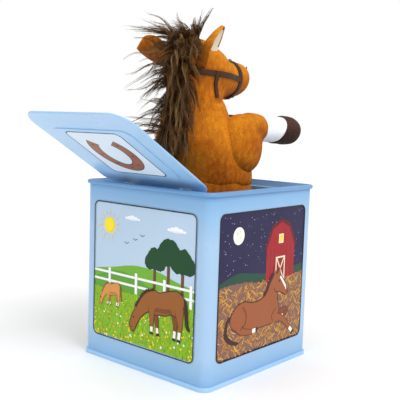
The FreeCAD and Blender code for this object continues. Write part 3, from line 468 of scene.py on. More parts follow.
class Surface:
    """Nearest points on a piece, for laying straps and hair on it."""

    def __init__(self, piece):
        work = bmesh.new()
        work.from_mesh(piece.data)
        bmesh.ops.triangulate(work, faces=work.faces)
        self.tree = BVHTree.FromBMesh(work)
        work.free()

    def nearest(self, place):
        spot, normal, _, _ = self.tree.find_nearest(place)
        return spot, normal

    def clear(self, place, gap):
        """place, moved out along the normal if it is nearer to the skin than gap."""
        spot, normal = self.nearest(place)
        height = (place - spot).dot(normal)
        return place + normal * (gap - height) if height < gap else place


def oval(centre, half_x, half_other, plane, count=32):
    """A ring round centre in the xy or the xz plane."""
    return [Vector(centre) + Vector((half_x * a, half_other * b, 0) if plane == "xy"
                                    else (half_x * a, 0, half_other * b))
            for a, b in circle(count)]


# z, centre y, half width, half depth of the trunk, from the sleeve to the neck
TRUNK = [(150, -7.5, 40, 40), (162, -6.5, 40.2, 40.2), (172, -3, 39.8, 39.8), (182, 3, 38.5, 38.5),
         (190, 7, 37, 36.5), (200, 9, 33, 31.5), (210, 10, 29, 27.5), (223, 12, 25, 24.5),
         (236, 13, 24, 23.5)]
# y, centre z, half width, half height of the head, from its back to the nose
HEAD = [(40, 248, 10, 11), (34, 248, 18, 19), (23, 247.5, 24, 25.5), (8, 246.5, 26.5, 27),
        (-6, 244.5, 23.5, 23.5), (-18, 243, 18.5, 18.5), (-28, 242, 16.6, 16.4),
        (-37, 243, 17, 16), (-44, 244, 15.4, 14.2), (-49, 245, 11.5, 10.4), (-52, 245.6, 5.5, 5)]


def trunk_and_head():
    """The horse's skin in one piece, with a soft unevenness, its seams and its hollow foot."""
    rings = [oval(mm(0, y, z), a * MM, b * MM, "xy") for z, y, a, b in TRUNK]
    trunk = loft("trunk", rings, [PLUSH])
    rings = [oval(mm(0, y, z), a * MM, b * MM, "xz") for y, z, a, b in HEAD]
    head = loft("skull", rings, [PLUSH])
    skin = merge("plush_body", [trunk, head], 2.2 * MM, 14)

    def crease(place, normal):
        """The chin fold, the brow fold and the gathered seam down the face, pressed in."""
        x, y, z = place / MM
        push = 0.0
        chin = abs((z - 224.5) + 0.18 * (y + 12))
        if -26 < y < 16 and z < 236:
            push -= 1.3 * math.exp(-(chin / 2.2) ** 2)
        if y < 0 and z > 244:
            push -= 0.7 * math.exp(-(x / 1.4) ** 2)
        cheek = math.hypot(y - 1, z - 262) - 12
        if z > 250 and abs(x) > 12:
            push -= 0.9 * math.exp(-(cheek / 1.8) ** 2)
        return normal * push * MM

    def hollow(place, normal):
        """The underside raised into a cup, where the spring's cap sits."""
        cup_y, cup_radius, rim_z, cup_z = -7.5 * MM, 36 * MM, 153 * MM, 167 * MM
        inside = math.hypot(place.x, place.y - cup_y) < cup_radius
        if normal.z < -0.6 and place.z < rim_z and inside:
            return Vector((0, 0, cup_z - place.z))
        return Vector()

    reshape(skin, wobble(26 * MM, 0.9 * MM, 3))
    reshape(skin, hollow)
    reshape(skin, crease)
    return attach(skin, "puppet", "brown_plush", "torso", "head")


def flatten(piece):
    """Gives piece a mesh of its own."""
    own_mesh(piece)


def sleeve():
    """The cloth tube between the tin's base and the horse, gathered in soft folds."""
    low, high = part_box("sleeve")
    width, cloth = 38.8, 0.8
    rings = []
    levels, sides = 90, 96
    for i in range(levels + 1):
        t = i / levels
        z = low.z + (high.z - low.z) * t
        lean = between(z / MM, [(0, -2), (115, -2.5), (150, -7), (165, -7)])[0] * MM
        settle = min(1.0, (1 - t) * 9)
        ring = []
        for k in range(sides):
            turn = 2 * math.pi * k / sides
            fold = (0.9 * math.sin(t * 44 + 1.2 * math.sin(turn * 2))
                    + 0.5 * math.sin(turn * 9 + t * 7))
            radius = (width + fold * settle) * MM
            ring.append(Vector((radius * math.cos(turn), lean + radius * math.sin(turn), z)))
        rings.append(ring)
    piece = loft("plush_sleeve", rings, [PLUSH], capped=False)
    solid = piece.modifiers.new("Cloth", "SOLIDIFY")
    solid.thickness = cloth * MM
    solid.offset = -1
    apply_modifiers(piece)
    attach(piece, "box", "brown_plush", "sleeve")
    flatten(piece)


def main_spring():
    """The lifting spring as one round wire wound up evenly between its flat end turns."""
    low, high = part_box("main_spring")
    wire = 0.9 * MM
    radius = (high.x - low.x) / 2 - wire
    bottom, top = low.z + wire, high.z - wire
    turns, steps = 7.4, 48
    flat = 0.8 / turns
    line = []
    for i in range(int(turns * steps) + 1):
        t = i / (turns * steps)
        rise = min(max((t - flat) / (1 - 2 * flat), 0), 1)
        turn = 2 * math.pi * turns * t
        line.append(Vector((radius * math.cos(turn), (low.y + high.y) / 2 + radius * math.sin(turn),
                            bottom + (top - bottom) * rise)))
    piece = tube("wound_spring", line, wire, SPRING_STEEL, sides=10)
    attach(piece, "box", "spring_steel", "main_spring")
    flatten(piece)


def tube(name, line, radius, material, sides=6):
    """A round cord along line."""
    rings = []
    across = None
    for i, place in enumerate(line):
        ahead = (line[min(i + 1, len(line) - 1)] - line[max(i - 1, 0)]).normalized()
        if across is None:
            across = ahead.orthogonal().normalized()
        across = (across - ahead * across.dot(ahead)).normalized()
        other = ahead.cross(across)
        rings.append([place + (across * a + other * b) * radius for a, b in circle(sides)])
    return loft(name, rings, [material])


RIBBON_THICK = 0.7 * MM
# across and up, in half widths and thicknesses: a ribbon's section, with a slightly raised middle
RIBBON_EDGE = ((-1, 0), (-1, 1), (-0.5, 1.08), (0, 1.12), (0.5, 1.08), (1, 1), (1, 0), (0, 0))


def strap(name, line, width, skin, gap, closed=False):
    """A flat ribbon laid gap millimetres off the skin along line, turned to lie flat on it."""
    laid = [skin.nearest(place) for place in line]
    rings = []
    count = len(laid)
    for i, (spot, normal) in enumerate(laid):
        before = laid[(i - 1) % count if closed else max(i - 1, 0)][0]
        after = laid[(i + 1) % count if closed else min(i + 1, count - 1)][0]
        across = (after - before).normalized().cross(normal).normalized() * width / 2
        up = normal.normalized()
        rings.append([skin.clear(spot + across * side, gap * MM) + up * RIBBON_THICK * lift
                      for side, lift in RIBBON_EDGE])
    if closed:
        rings.append(rings[0])
    return loft(name, rings, [RIBBON], capped=not closed)


# x, y and z along one side of the head: from its back to the noseband, and down to the throat
CHEEK = ((16, 38, 244.5), (24, 27, 244), (28, 12, 243.5), (26, -4, 243), (20, -17, 242.5),
         (18.5, -29, 242))
JAW = ((29, 14.5, 246), (28, 14.5, 239), (26, 14, 232), (23, 13, 224))


def bridle(skin):
    """A noseband, two cheek straps and two jaw straps in flat woven ribbon."""
    width = 4.6 * MM
    middle = mm(0, -29, 242)
    noseband = oval(middle, 20 * MM, 20 * MM, "xz", 64)
    for place in noseband:
        place.y += -0.06 * (place.z - 242 * MM)
    parts = [strap("noseband", noseband, width, skin, 0.25, closed=True)]
    for side in (-1, 1):
        cheek = smooth_line([mm(side * x, y, z) for x, y, z in CHEEK], 8)
        parts.append(strap("cheek", cheek, width, skin, 0.5))
        jaw = smooth_line([mm(side * x, y, z) for x, y, z in JAW], 10)
        parts.append(strap("jaw", jaw, width * 0.8, skin, 0.9))
    attach(join("bridle_straps", parts), "puppet", "brown_ribbon", "bridle")


def join(name, parts):
    """Parts as one object, each keeping its own materials and faces."""
    materials = []
    work = bmesh.new()
    for part in parts:
        base = len(work.faces)
        work.from_mesh(part.data)
        work.faces.ensure_lookup_table()
        table = []
        for material in part.data.materials:
            if material not in materials:
                materials.append(material)
            table.append(materials.index(material))
        for face in work.faces[base:]:
            face.material_index = table[face.material_index]
        bpy.data.objects.remove(part)
    mesh = bpy.data.meshes.new(name)
    work.to_mesh(mesh)
    work.free()
    for material in materials:
        mesh.materials.append(material)
    return put(name, mesh)


def bead(name, centre, radius, material):
    """A round bead, as rings from pole to pole."""
    rings = []
    for i in range(15):
        turn = math.pi * (i + 0.35) / 14.7
        wide = radius * math.sin(turn)
        ring = oval((0, 0, -radius * math.cos(turn)), wide, wide, "xy", 24)
        rings.append([p + centre for p in ring])
    return loft(name, rings, [material])


def eyes_and_nostrils(skin):
    """Two bead eyes and two short stitched nostrils."""
    parts = []
    for side in (-1, 1):
        spot, normal = skin.nearest(mm(side * 13, -17, 256.5))
        parts.append(bead("eye", spot - normal * 0.2 * MM, 2.3 * MM, BEAD))
        spot, normal = skin.nearest(mm(side * 8.5, -48, 253.5))
        ahead = Vector((side * 0.5, 0.5, 0.5)).normalized()
        line = smooth_line([spot - ahead * 2.2 * MM + normal * 0.1 * MM, spot + normal * 0.35 * MM,
                            spot + ahead * 2.2 * MM + normal * 0.1 * MM], 5)
        parts.append(tube("nostril", line, 0.55 * MM, THREAD))
    attach(join("eye_beads", parts), "puppet", "black_bead", "eyes")


EAR_HALF = 15.5      # scale of an ear's half width


def ear(name, node, root, tip, back, bow, blunt, hollow=7.0):
    """A cupped leaf: plush outside, pale lining inside; back points away from the opening."""
    root, tip, back = Vector(root), Vector(tip), Vector(back).normalized()
    along = tip - root
    across = along.cross(back).normalized()
    back = across.cross(along).normalized()
    columns, levels = 14, 16
    rings = []

    def outline(t):
        """Half width along the ear: widest before the middle, closing at the tip."""
        return 0.62 + 0.9 * t - 1.52 * max(t, 0) ** blunt

    for i in range(levels + 1):
        t = i / levels
        half = max(EAR_HALF * outline(t), 0.7)
        centre = root + along * t + back * bow * math.sin(math.pi * t)
        deep = hollow * (1 - 0.75 * t ** 2)
        outer, inner = [], []
        for k in range(columns + 1):
            s = -1 + 2 * k / columns
            arch = 1 - s * s
            thick = 0.7 + 2.0 * min(1, arch * 2.2) * min(1, (1 - t) * 4 + 0.25)
            spine = centre + across * half * s + back * (deep * arch - deep * 0.5)
            outer.append((spine + back * thick / 2) * MM)
            inner.append((spine - back * thick / 2) * MM)
        rings.append(outer + inner[::-1])
    piece = loft(name, rings, [PLUSH, LINING])
    for face in piece.data.polygons:
        middle = face.center / MM
        t = (middle - root).dot(along) / along.length_squared
        sideways = abs((middle - root).dot(across))
        half = EAR_HALF * outline(t)
        if face.normal.dot(back) < -0.1 and sideways < half - 0.9 and t < 0.955:
            face.material_index = 1
    subdivide(piece)
    reshape(piece, wobble(8 * MM, 0.5 * MM, 5))
    return attach(piece, "puppet", "brown_plush", node)


LEG_X = 33           # from the middle to each foreleg
# y and radius along the sock and along the hoof, from its toe
SOCK_SHAPE = [(-31, 11.2), (-36, 12), (-55, 12.2), (-67, 12.3), (-74, 11.6)]
HOOF_SHAPE = [(-93, 0.4), (-92.6, 4), (-91.3, 8), (-88.5, 11), (-84, 12.6), (-77, 13.1),
              (-54, 12.8)]


def foreleg(side, name):
    """A stuffed upper leg, a white sock and a dark hoof whose edge slants back underneath."""
    body = name + "_foreleg"
    x = side * LEG_X
    lobe_rings = []
    levels = 24
    for i in range(levels + 1):
        t = math.pi * (i + 0.3) / (levels + 0.6)
        swell = math.sin(t) ** 0.85
        lobe_rings.append(oval(mm(x, -13.0 - 1.0 * math.cos(t), 186.5 - 25.5 * math.cos(t)),
                               14.5 * swell * MM, 22.5 * swell * MM, "xy", 40))
    lobe = loft(name + "_lobe", lobe_rings, [PLUSH])
    knee_rings = [oval(mm(x - side * t * 1.5, -18 - t * 18, 199.5 + t * 0.2),
                       (13.5 - 0.8 * t) * MM, (14.5 - 1.8 * t) * MM, "xz")
                  for t in (0, 0.25, 0.5, 0.75, 0.92, 1)]
    knee = loft(name + "_knee", knee_rings, [PLUSH])
    upper = merge(name + "_upper_plush", [lobe, knee], 1.8 * MM, 10)
    reshape(upper, wobble(18 * MM, 0.9 * MM, 11 + side))
    attach(upper, body, "brown_plush", name + "_upper_leg")

    def rim(a, b, y, radius):
        """A point round the lower leg, whose middle rises a little towards the knee."""
        return mm(x - side * 1.5 + radius * a, y, 200.3 + 0.03 * (y + 31) + radius * b)

    around = circle(40)
    sock_rings, hoof_rings = [], []
    for i in range(15):
        y = -31 - i / 14 * 43
        radius = between(y, SOCK_SHAPE)[0]
        sock_rings.append([rim(a, b, y, radius) for a, b in around])
    for i in range(19):
        ring = []
        for a, b in around:
            start = -62.5 - 6.5 * b
            y = start + (-93 - start) * (1 - (1 - i / 18) ** 1.4)
            radius = between(y, HOOF_SHAPE)[0] if i else 11.8      # turned in under its edge
            ring.append(rim(a, b, y, radius))
        hoof_rings.append(ring)
    sock = loft(name + "_sock_plush", sock_rings, [SOCK])
    hoof = loft(name + "_hoof_plush", hoof_rings, [HOOF])
    for piece, node, slot_name in ((sock, name + "_sock", "white_plush"),
                                   (hoof, name + "_hoof", "hoof_felt")):
        subdivide(piece)
        reshape(piece, wobble(9 * MM, 0.45 * MM, 20 + side))
        attach(piece, body, slot_name, node)


# ---------------------------------------------------------------- hair

class Hair:
    """Strands of hair growing from a skin, gathered in locks into one piece."""

    def __init__(self, skin, seed):
        self.skin = skin
        self.rng = random.Random(seed)
        self.vertices, self.faces, self.indices = [], [], []

    def root(self, x, y, z):
        """Where hair grows nearest to a place in millimetres, and the normal there."""
        return self.skin.nearest(mm(x, y, z))

    def drift(self, *pairs):
        """A vector of three random numbers, each from its own mean and deviation."""
        return Vector([self.rng.gauss(*pair) for pair in pairs])

    def strand(self, root, heading, length, curl, droop, steps=9, gap=1.0):
        """The line of one strand: it starts along heading, curls, droops and stays off the skin."""
        line = [root]
        way = heading.normalized()
        twist = Vector([self.rng.uniform(-1, 1) for _ in range(3)]) * curl
        step = length * MM / steps
        for i in range(steps):
            way = (way + Vector((0, 0, -droop))
                   + twist * math.sin(i * 0.9 + twist.x * 9)).normalized()
            place = self.skin.clear(line[-1] + way * step, gap * MM)
            way = (place - line[-1]).normalized()
            line.append(place)
        return line

    def lock(self, line, count, spread, radius, colour):
        """A lock of count fine hairs round line, apart at the root and meeting at the tip."""
        rng, vertices = self.rng, self.vertices
        spread, radius = spread * MM, radius * MM
        corners = circle(3)
        for _ in range(count):
            shift = self.drift((0, 1), (0, 1), (0, 1)) * spread
            stray = self.drift((0, 1), (0, 1), (0, 1)) * spread * 0.8
            stop = rng.randint(max(4, len(line) - 3), len(line))
            shade = colour if rng.random() < 0.7 else rng.choice((0, 0, 1, 1, 2))
            base = len(vertices)
            across = (line[1] - line[0]).orthogonal().normalized()
            for i in range(stop):
                t = i / (len(line) - 1)
                ahead = (line[min(i + 1, len(line) - 1)] - line[max(i - 1, 0)]).normalized()
                across = (across - ahead * across.dot(ahead)).normalized()
                other = ahead.cross(across)
                place = line[i] + shift * (1 - 0.75 * t) + stray * math.sin(t * 4.2)
                thin = radius * (1 - 0.85 * i / (stop - 1))
                vertices += [place + (across * a + other * b) * thin for a, b in corners]
                for k in range(3 if i else 0):
                    n = (k + 1) % 3
                    b = base + i * 3
                    self.faces.append((b - 3 + k, b - 3 + n, b + n, b + k))
            end = base + stop * 3
            self.faces += [(base, base + 2, base + 1), (end - 3, end - 2, end - 1)]
            self.indices += [shade] * (3 * stop - 1)

    def finish(self, name, node, lowest, highest):
        """One piece, with every vertex kept between the heights lowest and highest."""
        for vertex in self.vertices:
            vertex.z = min(max(vertex.z, lowest), highest)
        piece = add_piece(name, self.vertices, self.faces, HAIR, self.indices)
        attach(piece, "puppet", "dark_hair", node)
        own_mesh(piece)


# The crest that the mane grows from: y and z, from the poll down the nape
CREST = [(19, 273), (27, 269.5), (35, 261), (39, 249), (38, 237), (37, 225), (38, 213), (42, 201),
         (45, 190), (44, 180)]
# z and how far forward of the crest, along (-0.75, -0.66), hair may reach on the right side
COMBED = [(160, 10), (200, 11), (222, 9), (238, 4), (254, -5), (280, -13)]


def crest_point(t):
    """y and z of the crest at share t of its length."""
    return between(t, [(i / (len(CREST) - 1), p[0], p[1]) for i, p in enumerate(CREST)])


def comb(line, slack):
    """Keeps a strand behind the cheek and the ear."""
    ahead = Vector((-0.75, -0.66, 0))
    for place in line:
        past = place.dot(ahead) / MM - between(place.z / MM, COMBED)[0] - slack
        if past > 0:
            place -= ahead * past * MM
    return line


def mane(skin):
    """Long matted hair down the crest: most falls to the right side, some flies out behind."""
    hair = Hair(skin, 41)
    rng = hair.rng
    mats, falls, strays = 180, 100, 50
    for n in range(mats):
        y, z = crest_point((n + rng.random()) / mats)
        root, normal = hair.root(rng.gauss(-5 if z > 228 else -2, 4), y + 2, z)
        heading = normal * rng.uniform(0.2, 0.9) + hair.drift((-0.28, 0.4), (0.1, 0.35),
                                                              (-0.55, 0.4))
        line = hair.strand(root, heading, rng.uniform(16, 30), 0.42, 0.15, 8)
        hair.lock(comb(line, rng.gauss(0, 2)), 13, 1.5, 0.36, rng.choice((0, 0, 1)))
    for n in range(falls):
        y, z = crest_point((n + rng.random()) / falls * 0.9)
        root, normal = hair.root(rng.gauss(-7, 4), y + 2, z)
        heading = normal * 0.45 + hair.drift((-0.6, 0.25), (-0.15, 0.25), (-0.5, 0.2))
        line = hair.strand(root, heading, rng.uniform(28, 48), 0.32, 0.15, 9, rng.uniform(2.5, 7))
        hair.lock(comb(line, rng.gauss(1, 2.5)), 12, 1.1, 0.34,
                  rng.choices((0, 1, 2), (3, 5, 2))[0])
    for _ in range(strays):
        y, z = crest_point(rng.random())
        root, normal = hair.root(rng.gauss(0, 5), y + 2, z)
        heading = normal * 0.5 + Vector((rng.uniform(0.1, 1.0), rng.uniform(0.2, 0.8),
                                         rng.gauss(-0.15, 0.3)))
        line = hair.strand(root, heading, rng.uniform(22, 46), 0.3, 0.06)
        hair.lock(line, rng.randint(5, 10), 0.9, 0.34, rng.choice((0, 1, 1, 2)))
    # the lowest hair stays clear of the base plate when the horse is down
    hair.finish("mane_hair", "mane", TRAVEL + 4 * MM, 1)


def forelock(skin):
    """Short tangled hair between the ears, with a few long hairs flying out."""
    hair = Hair(skin, 17)
    rng = hair.rng
    for _ in range(40):
        root, normal = hair.root(rng.gauss(1, 5), rng.uniform(14, 28), 275)
        heading = normal * 0.4 + Vector((rng.gauss(0.4, 0.5), rng.gauss(0.6, 0.4), 0.0))
        line = hair.strand(root, heading, rng.uniform(12, 24), 0.34, 0.16, 8)
        hair.lock(comb(line, 0), 10, 1.2, 0.36, rng.choice((0, 0, 1)))
    for lean, rise, reach in ((-0.30, 0.9, 28), (-0.24, 0.9, 25), (-0.1, 0.9, 18), (0.5, 0.6, 22),
                              (0.9, 0.32, 42), (1.0, 0.22, 50), (1.0, 0.12, 44), (0.8, 0.4, 34),
                              (1.0, 0.30, 54), (1.0, 0.05, 36), (0.7, 0.5, 24),
                              (1.0, 0.34, 58), (1.0, 0.18, 60), (-0.34, 0.94, 30)):
        root, _ = hair.root(rng.gauss(-4, 2), 18, 275)
        line = hair.strand(root, Vector((lean, lean * 0.8, rise)), reach, 0.08, 0.02)
        hair.lock(line, 11, 1.0, 0.34, rng.choice((0, 1)))
    hair.finish("forelock_hair", "forelock", 0, 298 * MM)


# ---------------------------------------------------------------- printed pictures

FRAME = 117.0         # side of a wall picture
FRAME_FOOT = 19.0     # height of its lower edge
WALL_FACE = 70.02     # just outside the tin's walls
CORNER = 6.0          # radius of a picture's corners
INSET = 0.35          # how far prints stop short of a picture's edge
LAYER = 0.012         # one printed layer over another
HAIRLINE = 0.012      # the share of a layer between two shapes of the same layer
LID_OPEN = math.radians(148.8)                # how far the lid's panel stands open at rest
LID_FACE = 2.12                               # from the hinge pin out to the lid's print
LID_REACH = 87.0                              # from the hinge pin to the print's far edge
LID_WIDTH, LID_HEIGHT = 62.0, 63.5
NAVY, BROWN_LINE, CREAM, WHITE = "#22364A", "#43261A", "#F1E4C3", "#F4F5F2"
TREE_GREEN, LEAF_GREEN, BARN_RED, BOARD_LINE = "#0C4420", "#18602F", "#9E1622", "#5E101A"


class Picture:
    """Flat printed shapes in picture millimetres, p to the viewer's right and q up."""

    def __init__(self, name, body, origin, right, up, width=FRAME, height=FRAME):
        self.name, self.body = name, body
        self.origin, self.right, self.up = Vector(origin), Vector(right), Vector(up)
        self.out = self.right.cross(self.up).normalized()
        self.width, self.height = width, height
        self.vertices, self.faces, self.indices = [], [], []
        self.inks = []
        self.level = 1

    def lift(self, share=1.0):
        """What is printed next stands higher by a share of one layer."""
        self.level += share

    def limit(self, p, q):
        """The nearest point inside the rounded frame."""
        p = min(max(p, INSET), self.width - INSET)
        q = min(max(q, INSET), self.height - INSET)
        centre_p = min(max(p, CORNER), self.width - CORNER)
        centre_q = min(max(q, CORNER), self.height - CORNER)
        reach = math.hypot(p - centre_p, q - centre_q)
        if reach > CORNER - INSET:
            share = (CORNER - INSET) / reach
            p, q = centre_p + (p - centre_p) * share, centre_q + (q - centre_q) * share
        return p, q

    def ink_index(self, code):
        """The material slot of a colour, made when it is first used."""
        if code not in self.inks:
            self.inks.append(code)
        return self.inks.index(code)

    def add(self, points, triangles, code):
        """Triangles over points, a hair above whatever was printed before."""
        self.lift(HAIRLINE)
        base = len(self.vertices)
        for p, q in points:
            p, q = self.limit(p, q)
            place = self.origin + self.right * p + self.up * q + self.out * LAYER * self.level
            self.vertices.append(place * MM)
        for a, b, c in triangles:
            va, vb, vc = (self.vertices[base + i] for i in (a, b, c))
            turn = (vb - va).cross(vc - va)
            if turn.length < 1e-13:
                continue
            order = (a, b, c) if turn.dot(self.out) > 0 else (a, c, b)
            self.faces.append(tuple(base + i for i in order))
            self.indices.append(self.ink_index(code))

    def area(self, points, code):
        """A closed shape with straight sides."""
        points = [(p[0], p[1]) for p in points]
        triangles = geometry.tessellate_polygon([[Vector((p, q, 0)) for p, q in points]])
        self.add(points, triangles, code)

    def blob(self, points, code, line=None, width=0.0):
        """A smooth closed shape, outlined if a line colour is given."""
        curve = smooth_line([(p, q, 0) for p, q in points], 6, closed=True)
        self.area(curve, code)
        if line:
            self.lift(0.5)
            self.stroke(curve + curve[:1], width, line)

    def stroke(self, points, width, code, smooth=False):
        """A line of the given width, or of one width for each point."""
        widths = width if isinstance(width, (list, tuple)) else [width] * len(points)
        line = [Vector((p[0], p[1], w)) for p, w in zip(points, widths)]
        if smooth:
            line = smooth_line(line, 6)
        sides = []
        for i, place in enumerate(line):
            ahead = line[min(i + 1, len(line) - 1)] - line[max(i - 1, 0)]
            ahead.z = 0
            ahead = ahead.normalized() if ahead.length > 1e-6 else Vector((1, 0, 0))
            half = max(place.z, 0.05) / 2
            sides += [(place.x - ahead.y * half, place.y + ahead.x * half),
                      (place.x + ahead.y * half, place.y - ahead.x * half)]
        triangles = []
        for i in range(len(line) - 1):
            a = 2 * i
            triangles += [(a, a + 1, a + 3), (a, a + 3, a + 2)]
        self.add(sides, triangles, code)

    def box(self, p0, q0, p1, q1, code):
        self.area([(p0, q0), (p1, q0), (p1, q1), (p0, q1)], code)

    def disc(self, p, q, radius, code, sides=24, squeeze=1.0):
        """A round spot, or an oval one where squeeze is below 1."""
        self.area([(p + radius * a, q + radius * squeeze * b) for a, b in circle(sides)], code)

    def rounded(self, inset=0.0):
        """The picture's outline with its round corners, moved in by inset at the corners."""
        points = []
        for p, q, start in ((self.width, self.height, 0), (0, self.height, 90), (0, 0, 180),
                            (self.width, 0, 270)):
            mid_p = p - CORNER if p else CORNER
            mid_q = q - CORNER if q else CORNER
            for k in range(9):
                turn = math.radians(start + 90 * k / 8)
                points.append((mid_p + (CORNER - inset) * math.cos(turn),
                               mid_q + (CORNER - inset) * math.sin(turn)))
        return points

    def ground(self, code):
        """One colour over the whole picture."""
        self.area(self.rounded(), code)
        self.lift()

    def border(self, code=NAVY):
        """A thin line round the picture, printed last."""
        self.lift()
        outline = self.rounded(0.85)
        self.stroke(outline + [outline[0]], 1.0, code)

    def finish(self):
        piece = add_piece(self.name, self.vertices, self.faces, [ink(c) for c in self.inks],
                          self.indices, smooth=False)
        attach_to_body(piece, self.body)


def column_tree(art, p, half, q0, q1, rng):
    """A tall clipped tree with a ragged edge and lighter leaf strokes."""
    points = []
    for a, b in circle(64):
        points.append((p + half * math.copysign(abs(a) ** 0.36, a) * (1 - 0.12 * b)
                       + rng.uniform(-0.5, 0.5),
                       (q0 + q1) / 2 + (q1 - q0) / 2 * math.copysign(abs(b) ** 0.75, b)
                       + rng.uniform(-0.4, 0.4)))
    art.area(points, TREE_GREEN)
    art.lift()
    for _ in range(60):
        a, b = p + rng.uniform(-0.75, 0.75) * half, rng.uniform(q0 + 3, q1 - 5)
        art.stroke([(a, b), (a + rng.uniform(-0.8, 0.8), b + rng.uniform(1.2, 2.2))], 0.5,
                   LEAF_GREEN)


def round_bush(art, spots, code, rng):
    """Round bushes with uneven edges; spots holds p, q and radius of each."""
    for p, q, radius in spots:
        points = []
        for a, b in circle(30):
            reach = radius * (1 + rng.uniform(-0.07, 0.07))
            points.append((p + reach * a, q + reach * b))
        art.area(points, code)
        art.lift(0.2)


def sun(art, p, q, radius):
    """A sun with fourteen tapering rays, long and short by turns."""
    for k in range(14):
        turn = 2 * math.pi * (k + 0.3) / 14
        far = radius * (2.2 if k % 2 else 1.8)
        a, b = math.cos(turn), math.sin(turn)
        art.stroke([(p + a * radius * 1.25, q + b * radius * 1.25), (p + a * far, q + b * far)],
                   [0.9, 0.3], "#E8B36A")
    art.disc(p, q, radius, "#F7DB12", 36)
    art.lift()
    art.disc(p - 0.4, q + 0.4, radius * 0.78, "#FBE52E", 36)


def cloud(art, p, q, size):
    """A flat-footed cloud of five puffs."""
    for a, b, radius in ((-1.5, 0.1, 0.55), (-0.8, 0.35, 0.75), (0, 0.55, 0.9), (0.9, 0.25, 0.8),
                         (1.7, 0.0, 0.5)):
        art.disc(p + a * size * 1.5, q + b * size * 0.8, radius * size, "#F4F6FB", 20, 0.6)
        art.lift(0.2)
    art.area([(p - 3 * size, q - size * 0.2), (p, q - size * 0.5), (p + 3 * size, q - size * 0.2),
              (p, q)], "#E2E8F4")


def hills(art, points, code, low=40):
    """Ground from a smooth skyline down to low."""
    curve = smooth_line([(p, q, 0) for p, q in points], 8)
    art.area(curve + [(points[-1][0], low), (points[0][0], low)], code)


def fence(art, rails, posts, low, high):
    """A white fence; rails holds each rail's height at its left and right end."""
    for left, right in rails:
        art.stroke([(0, left - 0.9), (FRAME, right - 0.9)], 0.7, "#9AA7A8")
    art.lift(0.5)
    for left, right in rails:
        art.stroke([(0, left), (FRAME, right)], 1.9, WHITE)
    art.lift()
    for p in posts:
        art.box(p - 1.35, low, p + 1.35, high, WHITE)
        art.box(p + 1.35, low, p + 1.8, high - 0.6, "#A9B4B5")


def meadow(art, top, rng):
    """Grass with a ragged far edge, blade strokes and small flowers."""
    edge = [(FRAME * k / 80, top + rng.uniform(-0.7, 0.9)) for k in range(81)]
    art.area(edge + [(FRAME, 0), (0, 0)], "#84B214")
    art.lift()
    for _ in range(760):
        p, q = rng.uniform(0.5, FRAME - 0.5), rng.uniform(0.5, top - 1.5)
        tall = 1.4 + 2.4 * (1 - q / top) + rng.uniform(0, 0.8)
        lean = rng.uniform(-0.9, 0.9)
        code = rng.choice(("#4C800D", "#669E12", "#A2D02A", "#93C620", "#568A0E"))
        art.add([(p - 0.32, q), (p + 0.32, q), (p + lean, q + tall)], [(0, 1, 2)], code)
    art.lift()
    for n in range(150):
        p, q = rng.uniform(1.5, FRAME - 1.5), rng.uniform(1.5, top - 3)
        radius = 0.45 + 0.6 * (1 - q / top)
        code = rng.choice(("#F6F7F0", "#F2D325", "#F2D325", "#F2A91E", "#F2D325"))
        for k in range(5):
            turn = 2 * math.pi * k / 5 + n
            art.disc(p + radius * 0.62 * math.cos(turn), q + radius * 0.62 * math.sin(turn),
                     radius * 0.55, code, 6)


class Figure:
    """An animal drawn at its own size, put on art at place = (left, low, width, height scale)."""

    def __init__(self, art, place):
        self.art = art
        self.left, self.low, self.wide, self.tall = place
        self.thin = abs(self.wide)

    def at(self, points):
        """The animal's own points as picture points."""
        return [(self.left + p * self.wide, self.low + q * self.tall) for p, q in points]

    def blob(self, points, code, line=None):
        self.art.blob(self.at(points), code, line, 0.75 * self.thin + 0.15)

    def dot(self, p, q, radius, code, sides):
        (p, q), = self.at([(p, q)])
        self.art.disc(p, q, radius * self.thin ** 0.5, code, sides)

    def leg(self, points, widths, coat, line):
        """A leg from body to hoof, with its lower part in a sock."""
        art, thin = self.art, self.thin
        points = self.at(points)
        widths = [w * thin for w in widths]
        art.stroke(points, [w + 1.0 * thin for w in widths], line, smooth=True)
        art.lift(0.5)
        art.stroke(points, widths, coat, smooth=True)
        art.lift(0.5)
        (ap, aq), (bp, bq) = points[-2:]
        sock_share, hoof = 0.45, 2.4 * thin
        ahead = Vector((bp - ap, bq - aq)).normalized()
        art.stroke([(ap + (bp - ap) * sock_share, aq + (bq - aq) * sock_share), (bp, bq)],
                   [widths[-1] * 1.12, widths[-1] * 1.15], "#F3F1EC")
        art.stroke([(bp, bq), (bp + ahead.x * hoof, bq + ahead.y * hoof)],
                   [widths[-1] * 1.1, widths[-1] * 1.75], "#3A2620")

    def ragged(self, crest, reach, code, rng):
        """Tufts of printed hair along a crest line, pointing away by reach."""
        tufts = 30
        curve = smooth_line([(p, q, 0) for p, q in crest], 10)
        for n in range(tufts):
            spot = curve[int((n + rng.random()) / tufts * (len(curve) - 1))]
            a, b = self.at([(spot.x - reach[0] * 0.35, spot.y - reach[1] * 0.35),
                            (spot.x + reach[0] * rng.uniform(0.7, 1.2),
                             spot.y + reach[1] * rng.uniform(0.7, 1.2))])
            middle = ((a[0] + b[0]) / 2 + rng.uniform(-0.4, 0.4), (a[1] + b[1]) / 2)
            self.art.stroke([a, middle, b], [2.2 * self.thin, 1.8 * self.thin, 0.2], code)


